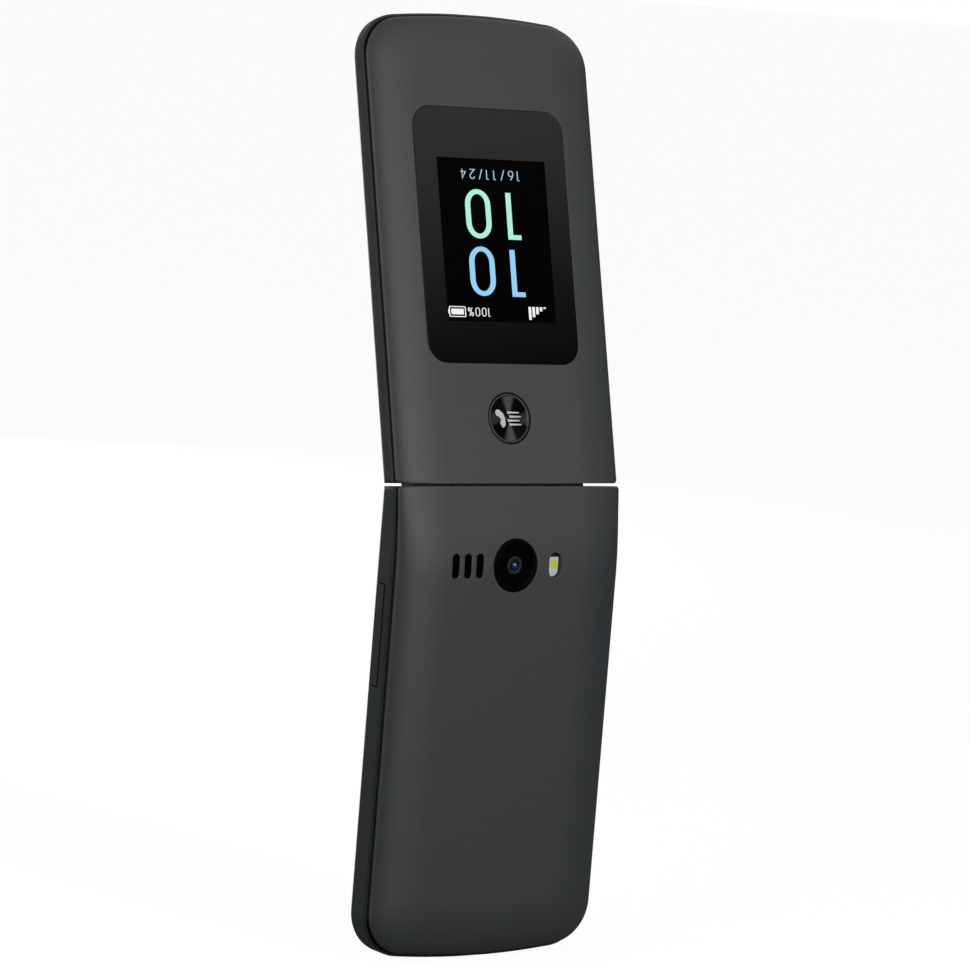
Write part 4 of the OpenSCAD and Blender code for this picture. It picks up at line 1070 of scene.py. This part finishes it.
# %% [markdown]
# ## The mark on the round key
#
# The key shows a handset and a few lines, the usual sign for a list of calls. The handset is one
# closed outline; the lines taper to the right. They are printed in near-white on the metal.

# %% Handset and list
HANDSET = [(-2.85, 1.91), (-3.49, 1.42), (-3.23, 0.55), (-2.71, 0.45), (-2.12, -0.3), (-2.37, -0.96),
           (-1.73, -1.99), (-1.08, -1.39), (-1.15, 0.14), (-1.71, 1.22)]
LIST_LINES = [(-0.4, 2.6, 1.25), (0.15, 3.1, 0.39), (-0.4, 2.6, -0.46), (0, 3.05, -1.3)]
LINE_W = 0.5
PRINT_T = 0.02
DISH_SWING = 0.05      # the dish rises and falls by less than this under the print


def smooth_loop(corners, steps=5):
    """Closed curve through points, by the Catmull-Rom formula."""
    count = len(corners)
    curve = []
    for k in range(count):
        a, b, c, d = (Vector(corners[(k + j) % count]) for j in (-1, 0, 1, 2))
        for step in range(steps):
            t = step / steps
            spot = (2 * b + (c - a) * t + (2 * a - 5 * b + 4 * c - d) * t * t
                    + (3 * b - a - 3 * c + d) * t ** 3) / 2
            curve.append((spot.x, spot.y))
    return curve


def call_list(points, faces):
    """Handset and list lines on the round key."""
    z0 = QUICK_FACE_Z - DISH_SWING
    z1 = QUICK_FACE_Z + DISH_SWING + PRINT_T
    outline = [(quick_at.x + x, quick_at.y + s) for x, s in smooth_loop(HANDSET)]
    add_plate(points, faces, outline, z0, z1)
    for x0, x1, s in LIST_LINES:
        s += quick_at.y
        add_plate(points, faces, [(x0, s - LINE_W / 2), (x1, s - LINE_W / 4), (x1, s + LINE_W / 4),
                                  (x0, s + LINE_W / 2)], z0, z1)


marks("call_list_mark", LID, "quick_key", LEGEND_INK, call_list)
print("lines on the round key:", len(LIST_LINES))

# %% [markdown]
# ## The camera and the flash
#
# Through the camera's black glass a small lens barrel shows as a grey ring, and the front lens as
# a dark bead with a blue coating. The glass is drawn opaque here, so the barrel and the lens lie
# on it as very low turned pieces. The flash beside it is a yellow chip under a clear lens, and one
# end of the lens, shaded by the wall of its opening, gets a dark plate of painted shade. Both are
# thin plates on the lens.

# %% Lens barrel and lens
LENS_BARREL = finish("satin_lens_barrel", "#26292c", Roughness=0.45, Specular_IOR_Level=0.2)
LENS_COATING = finish("blue_coated_lens", "#061433", Roughness=0.12, Specular_IOR_Level=0.1)
LENS_CORE = finish("blue_lens_core", "#10306e", Roughness=0.08, Specular_IOR_Level=1.0)
CORE_R = 0.7
CORE_H = 0.45
BARREL_PROFILE = [(1.1, -0.05), (1.1, 0.02), (1.55, 0.07), (1.95, 0.02), (1.95, -0.05)]
LENS_PROFILE = [(1.1, -0.05), (1.1, 0.02), (0.9, 0.07), (0.62, 0.12), (0.62, 0)]
CORE_PROFILE = arc(0, 0, CORE_R, CORE_H, 0, 90, 9)
glass_top = local_box("camera_window", BASE)[1].z
for name, profile, slot, material in (
        ("lens_barrel", BARREL_PROFILE, "inner_plastic", LENS_BARREL),
        ("front_lens", LENS_PROFILE, "window_acrylic", LENS_COATING),
        ("lens_core", CORE_PROFILE, "window_acrylic", LENS_CORE)):
    turned(name, BASE, camera_at, [(radius, glass_top + height) for radius, height in profile],
           "base", material)
print("camera at %.2f, %.2f mm" % (camera_at.x, camera_at.y))

# %% Flash chip and painted shade
CHIP_SIZE = (1.95, 1.65)
CHIP_OFF = (0.25, -0.15)       # the chip's middle, from the lens's
SHADE_PLATE_SIZE = (2.9, 0.9)
FLASH_CORNER = 0.3
FLASH_SINK = 0.05


def chip(points, faces):
    """Phosphor chip on the flash's lens."""
    outline = round_box(flash_at.x + CHIP_OFF[0], flash_at.y + CHIP_OFF[1], *CHIP_SIZE, FLASH_CORNER)
    add_plate(points, faces, outline, flash_high.z - FLASH_SINK, flash_high.z + 0.02)


def flash_shade_plate(points, faces):
    """Dark plate of painted shade over the end of the lens that the wall of the opening shades."""
    outline = round_box(flash_at.x, flash_low.y + SHADE_PLATE_SIZE[1] / 2, *SHADE_PLATE_SIZE, FLASH_CORNER)
    add_plate(points, faces, outline, flash_high.z - FLASH_SINK, flash_high.z + 0.03)


marks("flash_chip", BASE, "base", PHOSPHOR, chip)
# Painted shade: a dark plate in the rubber's colour over one end of the flash lens
marks("flash_painted_shade", BASE, "base", RUBBER, flash_shade_plate)
print("flash at %.2f, %.2f mm" % (flash_at.x, flash_at.y))

# %% [markdown]
# ## Marks on the keys
#
# A keypad is read from the inner side. There +x is on the reader's left, just as on the outer
# screen, so the same drawing function serves. The number keys carry numbers, and the call keys a
# green and a red handset. The direction ring has four small arrows.

# %% Key marks
KEY_TOP_Z = local_box("key_5", BASE)[0].z
KEY_INK_Z = (KEY_TOP_Z - 0.012, KEY_TOP_Z + 0.02)
NUMBER_H = 3.4
NUMBER_PEN = 0.42
HANDSET_X = -2.2       # middle of the handset's drawing
HANDSET_SHARE = 0.95
BAR = [[(1.6, 0), (-1.6, 0)]]
ARROW = [[(0.2, -1.1), (1.5, 0), (0.2, 1.1)], [(1.5, 0), (-1.7, 0)]]
RING_ARROW = [(-0.7, 8.5), (0, 9.2), (0.7, 8.5)]
RING_PEN = 0.35


def number_mark(key, sign):
    """Number or sign in the middle of a key."""
    at = middle(key, BASE)
    left = at.x + (sign_width(sign) * (NUMBER_H - NUMBER_PEN) + NUMBER_PEN) / 2

    def draw(points, faces):
        add_text(points, faces, sign, left, at.y + NUMBER_H / 2, NUMBER_H, NUMBER_PEN, KEY_INK_Z)

    marks(key + "_mark", BASE, key, LEGEND_INK, draw)


def handset_mark(key, ink, turn):
    """Handset on a call key, turned by an angle in degrees."""
    at = middle(key, BASE)
    spin = Matrix.Rotation(math.radians(turn), 2)
    spots = [spin @ Vector((x - HANDSET_X, s)) * HANDSET_SHARE for x, s in smooth_loop(HANDSET)]

    def draw(points, faces):
        add_plate(points, faces, [(at.x + spot.x, at.y + spot.y) for spot in spots], *KEY_INK_Z)

    marks(key + "_mark", BASE, key, ink, draw)


def line_mark(key, paths):
    """Strokes on a key, given about its middle in millimetres."""
    at = middle(key, BASE)

    def draw(points, faces):
        for path in paths:
            add_ribbon(points, faces, [(at.x + x, at.y + s) for x, s in path], NUMBER_PEN, *KEY_INK_Z)

    marks(key + "_mark", BASE, key, LEGEND_INK, draw)


def ring_marks(points, faces):
    """Four small arrows on the direction ring."""
    at = middle("nav_ring", BASE)
    for turn in (0, 90, 180, 270):
        spin = Matrix.Rotation(math.radians(turn), 2)
        spots = [spin @ Vector(spot) for spot in RING_ARROW]
        add_ribbon(points, faces, [(at.x + p.x, at.y + p.y) for p in spots], RING_PEN, *KEY_INK_Z)


print("ink lies on the keys at %.2f mm" % KEY_TOP_Z)

# %% Put the marks on the keys
for key in NUMBER_KEYS:
    mark = key.split("_")[1]
    number_mark(key, {"star": "*", "hash": "#"}.get(mark, mark))
handset_mark("key_call", LIT_GREEN, 10)
handset_mark("key_end", LIT_RED, 100)
line_mark("key_soft_left", BAR)
line_mark("key_soft_right", BAR)
line_mark("key_clear", ARROW)
marks("nav_ring_marks", BASE, "nav_ring", LEGEND_INK, ring_marks)
print("marked keys:", len(NUMBER_KEYS) + len(SIDE_KEYS))

# %% [markdown]
# ## The inner screen
#
# With the phone open, the large inner screen is on. It shows a plain wallpaper that runs from deep
# blue to teal, with the same time and date in white. The wallpaper is a gradient along the screen,
# made by the material, so it needs no picture.

# %% Wallpaper of the inner screen
INNER_PICTURE = (44.0, 58.7)
INNER_Z = local_box("inner_glass", LID)[0].z
INNER_PIXEL_Z = (INNER_Z - 0.012, INNER_Z - 0.006)
inner_at = middle("inner_glass", LID)
picture_foot = inner_at.y - INNER_PICTURE[1] / 2
picture_head = inner_at.y + INNER_PICTURE[1] / 2


def wallpaper_material():
    """Lit picture whose colour runs from the foot to the head of the screen."""
    material = lit("lit_wallpaper", "#0d2f55")
    tree = material.node_tree
    height = add_node(tree, "ShaderNodeSeparateXYZ", links={"Vector": place(tree)})
    foot = (LID @ Vector((0, picture_foot, 0))).z
    head = (LID @ Vector((0, picture_head, 0))).z
    share = add_node(tree, "ShaderNodeMapRange", {"From Min": foot, "From Max": head},
                     {"Value": height.outputs["Z"]})
    ramp = add_node(tree, "ShaderNodeValToRGB", links={"Fac": share.outputs[0]})
    ramp.color_ramp.elements[0].color = linear("#0b1f3f")
    ramp.color_ramp.elements[1].color = linear("#3d9aa0")
    tree.links.new(ramp.outputs[0], tree.nodes["Principled BSDF"].inputs["Emission Color"])
    return material


def inner_picture(points, faces):
    """The area that the inner screen's wallpaper fills."""
    add_plate(points, faces, round_box(inner_at.x, inner_at.y, *INNER_PICTURE, 0.6),
              INNER_Z - 0.004, INNER_Z + 0.1)


marks("inner_picture", LID, "lid", wallpaper_material(), inner_picture)
print("inner picture %.1f x %.1f mm" % INNER_PICTURE)

# %% Clock and signs of the inner screen
CLOCK_LEFT = (12.3, 0.6)       # left edges of the hour and the minutes
CLOCK_RISE = 6                 # foot of the clock above the picture's middle
CLOCK_H = 11
CLOCK_PEN = 1.1
STATUS_DROP = 3.6              # foot of the signs under the picture's head
BARS_X = 20.4                  # shortest signal bar
MENU_X = (-17, 17)             # middles of the two menu signs
MENU_RISE = 3
MENU_LINE = (3.4, 0.35)
MENU_PITCH = 0.9


def inner_text(points, faces, text, left, bottom, height, pen, share, gap):
    """Add signs on the inner side, read with +x to the left and away from the hinge up."""
    add_signs(points, faces, text, left - pen / 2, bottom + pen / 2, height - pen, 1, pen,
              INNER_PIXEL_Z, share, gap)


def inner_clock(points, faces):
    """Clock, date, charge, signal bars and the two menu signs."""
    for left in CLOCK_LEFT:
        inner_text(points, faces, "10", left, inner_at.y + CLOCK_RISE, CLOCK_H, CLOCK_PEN, 0.9, 2.6)
    inner_text(points, faces, "16/11", 5.4, inner_at.y - 1.5, 3, 0.34, 1.0, 1.0)
    row = picture_head - STATUS_DROP
    inner_text(points, faces, "100%", -9.6, row, 2.2, 0.26, 0.9, 0.55)
    for k in range(4):
        reach = 0.8 + 0.5 * k
        bar = round_box(BARS_X - k, row + reach / 2, 0.6, reach, 0.05, 2)
        add_plate(points, faces, bar, *INNER_PIXEL_Z)
    add_battery(points, faces, -18.6, row + 1, 4.0, 2.0, INNER_PIXEL_Z)
    for x in MENU_X:
        for k in (-1, 0, 1):
            line = round_box(x, picture_foot + MENU_RISE + MENU_PITCH * k, *MENU_LINE, 0.1, 2)
            add_plate(points, faces, line, *INNER_PIXEL_Z)


marks("inner_clock", LID, "lid", LIT_WHITE, inner_clock)
print("foot and head of the picture: %.1f and %.1f mm" % (picture_foot, picture_head))

# %% [markdown]
# ## The floor
#
# The phone stands on a large floor of white paper. To the camera, and through clear glass, the
# floor glows white. Gloss and metal see only a small share of that glow, and dull surfaces none of
# it, so the dark plastic stays dark. Under the glow the paper still takes the phone's soft shadow.

# %% Floor
FLOOR_HALF = 30
FLOOR_GLOW = 0.93
MIRROR_SHARE = 0.05    # share of the glow that gloss and metal see


def glowing_paper():
    """Dull paper that also glows for the camera."""
    material = bpy.data.materials.new("white_paper_floor")
    material.use_nodes = True
    tree = material.node_tree
    tree.nodes.clear()
    rays = add_node(tree, "ShaderNodeLightPath")
    mirror = add_node(tree, "ShaderNodeMath", {1: MIRROR_SHARE}, {0: rays.outputs["Is Glossy Ray"]},
                      operation="MULTIPLY")
    seen = add_node(tree, "ShaderNodeMath", operation="MAXIMUM",
                    links={0: rays.outputs["Is Camera Ray"], 1: mirror.outputs[0]})
    shown = add_node(tree, "ShaderNodeMath", operation="MAXIMUM",
                     links={0: seen.outputs[0], 1: rays.outputs["Is Transmission Ray"]})
    glow = add_node(tree, "ShaderNodeMath", {1: FLOOR_GLOW}, {0: shown.outputs[0]},
                    operation="MULTIPLY")
    paper = add_node(tree, "ShaderNodeBsdfDiffuse", {"Color": linear("#7c7c7c")})
    light = add_node(tree, "ShaderNodeEmission", links={"Strength": glow.outputs[0]})
    both = add_node(tree, "ShaderNodeAddShader", links={0: paper.outputs[0], 1: light.outputs[0]})
    add_node(tree, "ShaderNodeOutputMaterial", links={"Surface": both.outputs[0]})
    return material


floor_z = cad_bounds[0][2]
floor_mesh = bpy.data.meshes.new("floor")
floor_mesh.from_pydata([(-FLOOR_HALF, -FLOOR_HALF, floor_z), (FLOOR_HALF, -FLOOR_HALF, floor_z),
                        (FLOOR_HALF, FLOOR_HALF, floor_z), (-FLOOR_HALF, FLOOR_HALF, floor_z)],
                       [], [(0, 1, 2, 3)])
floor_mesh.materials.append(glowing_paper())
add_object("floor", floor_mesh)
print("floor at %.4f m" % floor_z)

# %% [markdown]
# ## The sky
#
# The sky stands for the white studio around the phone. The camera sees plain white. Gloss sees
# one broad bright band above eye level that fades towards the zenith, as from a soft lamp on the
# ceiling, and next to nothing below it. Dull surfaces get a dim, even light from all sides.

# %% Sky
SKY_STRENGTH = 0.14    # plain light on dull surfaces
BAND_DIM = 0.05        # what gloss sees below the band
BAND_LOW = 0.325       # the band starts at this height of a direction,
BAND_HIGH = 0.385      # is full from here
BAND_TOP = 0.55        # up to here,
BAND_END = 0.8         # and has faded here
BAND_LEFT = 0.5        # to this share of its light


def studio_sky():
    """White surround for the camera, a bright band for gloss, and dimmer for plain light."""
    world = bpy.data.worlds.new("studio")
    bpy.context.scene.world = world
    world.use_nodes = True
    tree = world.node_tree
    tree.nodes.clear()
    rays = add_node(tree, "ShaderNodeLightPath")
    where = add_node(tree, "ShaderNodeTexCoord").outputs["Generated"]
    height = add_node(tree, "ShaderNodeSeparateXYZ", links={"Vector": where}).outputs["Z"]
    rising = add_node(tree, "ShaderNodeMapRange",
                      {"From Min": BAND_LOW, "From Max": BAND_HIGH, "To Min": BAND_DIM, "To Max": 1.0},
                      {"Value": height}, interpolation_type="SMOOTHSTEP")
    fading = add_node(tree, "ShaderNodeMapRange",
                      {"From Min": BAND_TOP, "From Max": BAND_END, "To Min": 1.0, "To Max": BAND_LEFT},
                      {"Value": height}, interpolation_type="SMOOTHSTEP")
    band = add_node(tree, "ShaderNodeMath", operation="MULTIPLY",
                    links={0: rising.outputs[0], 1: fading.outputs[0]})
    mirror = add_node(tree, "ShaderNodeMath", operation="MULTIPLY",
                      links={0: band.outputs[0], 1: rays.outputs["Is Glossy Ray"]})
    seen = add_node(tree, "ShaderNodeMath", operation="MAXIMUM",
                    links={0: rays.outputs["Is Camera Ray"], 1: rays.outputs["Is Transmission Ray"]})
    shown = add_node(tree, "ShaderNodeMath", operation="MAXIMUM",
                     links={0: seen.outputs[0], 1: mirror.outputs[0]})
    plain = add_node(tree, "ShaderNodeMath", {1: SKY_STRENGTH}, {0: rays.outputs["Is Diffuse Ray"]},
                     operation="MULTIPLY")
    strength = add_node(tree, "ShaderNodeMath", operation="MAXIMUM",
                        links={0: shown.outputs[0], 1: plain.outputs[0]})
    sky = add_node(tree, "ShaderNodeBackground", {"Color": linear("#ffffff")},
                   {"Strength": strength.outputs[0]})
    add_node(tree, "ShaderNodeOutputWorld", links={"Surface": sky.outputs[0]})


studio_sky()
print("sky strength for plain light:", SKY_STRENGTH)

# %% [markdown]
# ## The lamps
#
# Four soft boxes light the phone, each a rectangle of light that faces its middle. A narrow
# upright one in front lights the backs of both halves. A large one on the left makes the left
# edges brighter than the right ones, and another further round lights the side frames. A low one
# behind lights the inner side, which would else be too dark to see.

# %% Lamps
AIM = Vector((0, 0, 0.1))
LAMPS = (              # name, place, width, height, watts
    ("front_strip", (0.166, -0.782, 0.26), 0.13, 0.5, 2.5),
    ("left_box", (-0.74, -0.13, 0.374), 0.5, 0.5, 1.55),
    ("far_left_box", (-0.8, 0.3, 0.15), 0.4, 0.4, 1.0),
    ("inner_side_box", (0.1, 0.9, 0.14), 0.5, 0.25, 2.4))


def soft_box(name, at, width, height, watts):
    """Area lamp that faces the middle of the phone."""
    data = bpy.data.lights.new(name, "AREA")
    data.shape = "RECTANGLE"
    data.size = width
    data.size_y = height
    data.energy = watts
    lamp = add_object(name, data)
    lamp.location = at
    lamp.rotation_euler = (AIM - Vector(at)).to_track_quat("-Z", "Y").to_euler()


for lamp_sizes in LAMPS:
    soft_box(*lamp_sizes)
print("lamps:", [lamp_sizes[0] for lamp_sizes in LAMPS])

# %% [markdown]
# ## Camera
#
# The camera stands far off with a long lens, so the phone's straight edges stay nearly parallel.
# It looks from the left of the back, slightly down, and is rolled a few degrees, which makes the
# phone lean in the picture.

# %% Camera
LENS_MM = 171.65
VIEW_AZIMUTH = math.radians(35.86)
VIEW_DOWN = math.radians(6.416)
VIEW_ROLL = math.radians(4.62)
CAMERA_AT = Vector((-0.57307, -0.78667, 0.21021))
FAR_CLIP = 200


def set_camera():
    """Camera whose axes come from the view's direction and its roll."""
    flat = math.cos(VIEW_DOWN)
    forward = Vector((math.sin(VIEW_AZIMUTH) * flat, math.cos(VIEW_AZIMUTH) * flat,
                      -math.sin(VIEW_DOWN)))
    level = forward.cross(Vector((0, 0, 1))).normalized()
    upright = level.cross(forward)
    right = level * math.cos(VIEW_ROLL) + upright * math.sin(VIEW_ROLL)
    up = right.cross(forward)
    axes = Matrix((right, up, -forward)).transposed().to_4x4()
    data = bpy.data.cameras.new("camera")
    data.lens = LENS_MM
    data.clip_end = FAR_CLIP
    camera = add_object("camera", data)
    camera.matrix_world = Matrix.Translation(CAMERA_AT) @ axes
    bpy.context.scene.camera = camera


set_camera()
bpy.context.scene.view_settings.view_transform = "Standard"
print("lens:", LENS_MM, "mm")
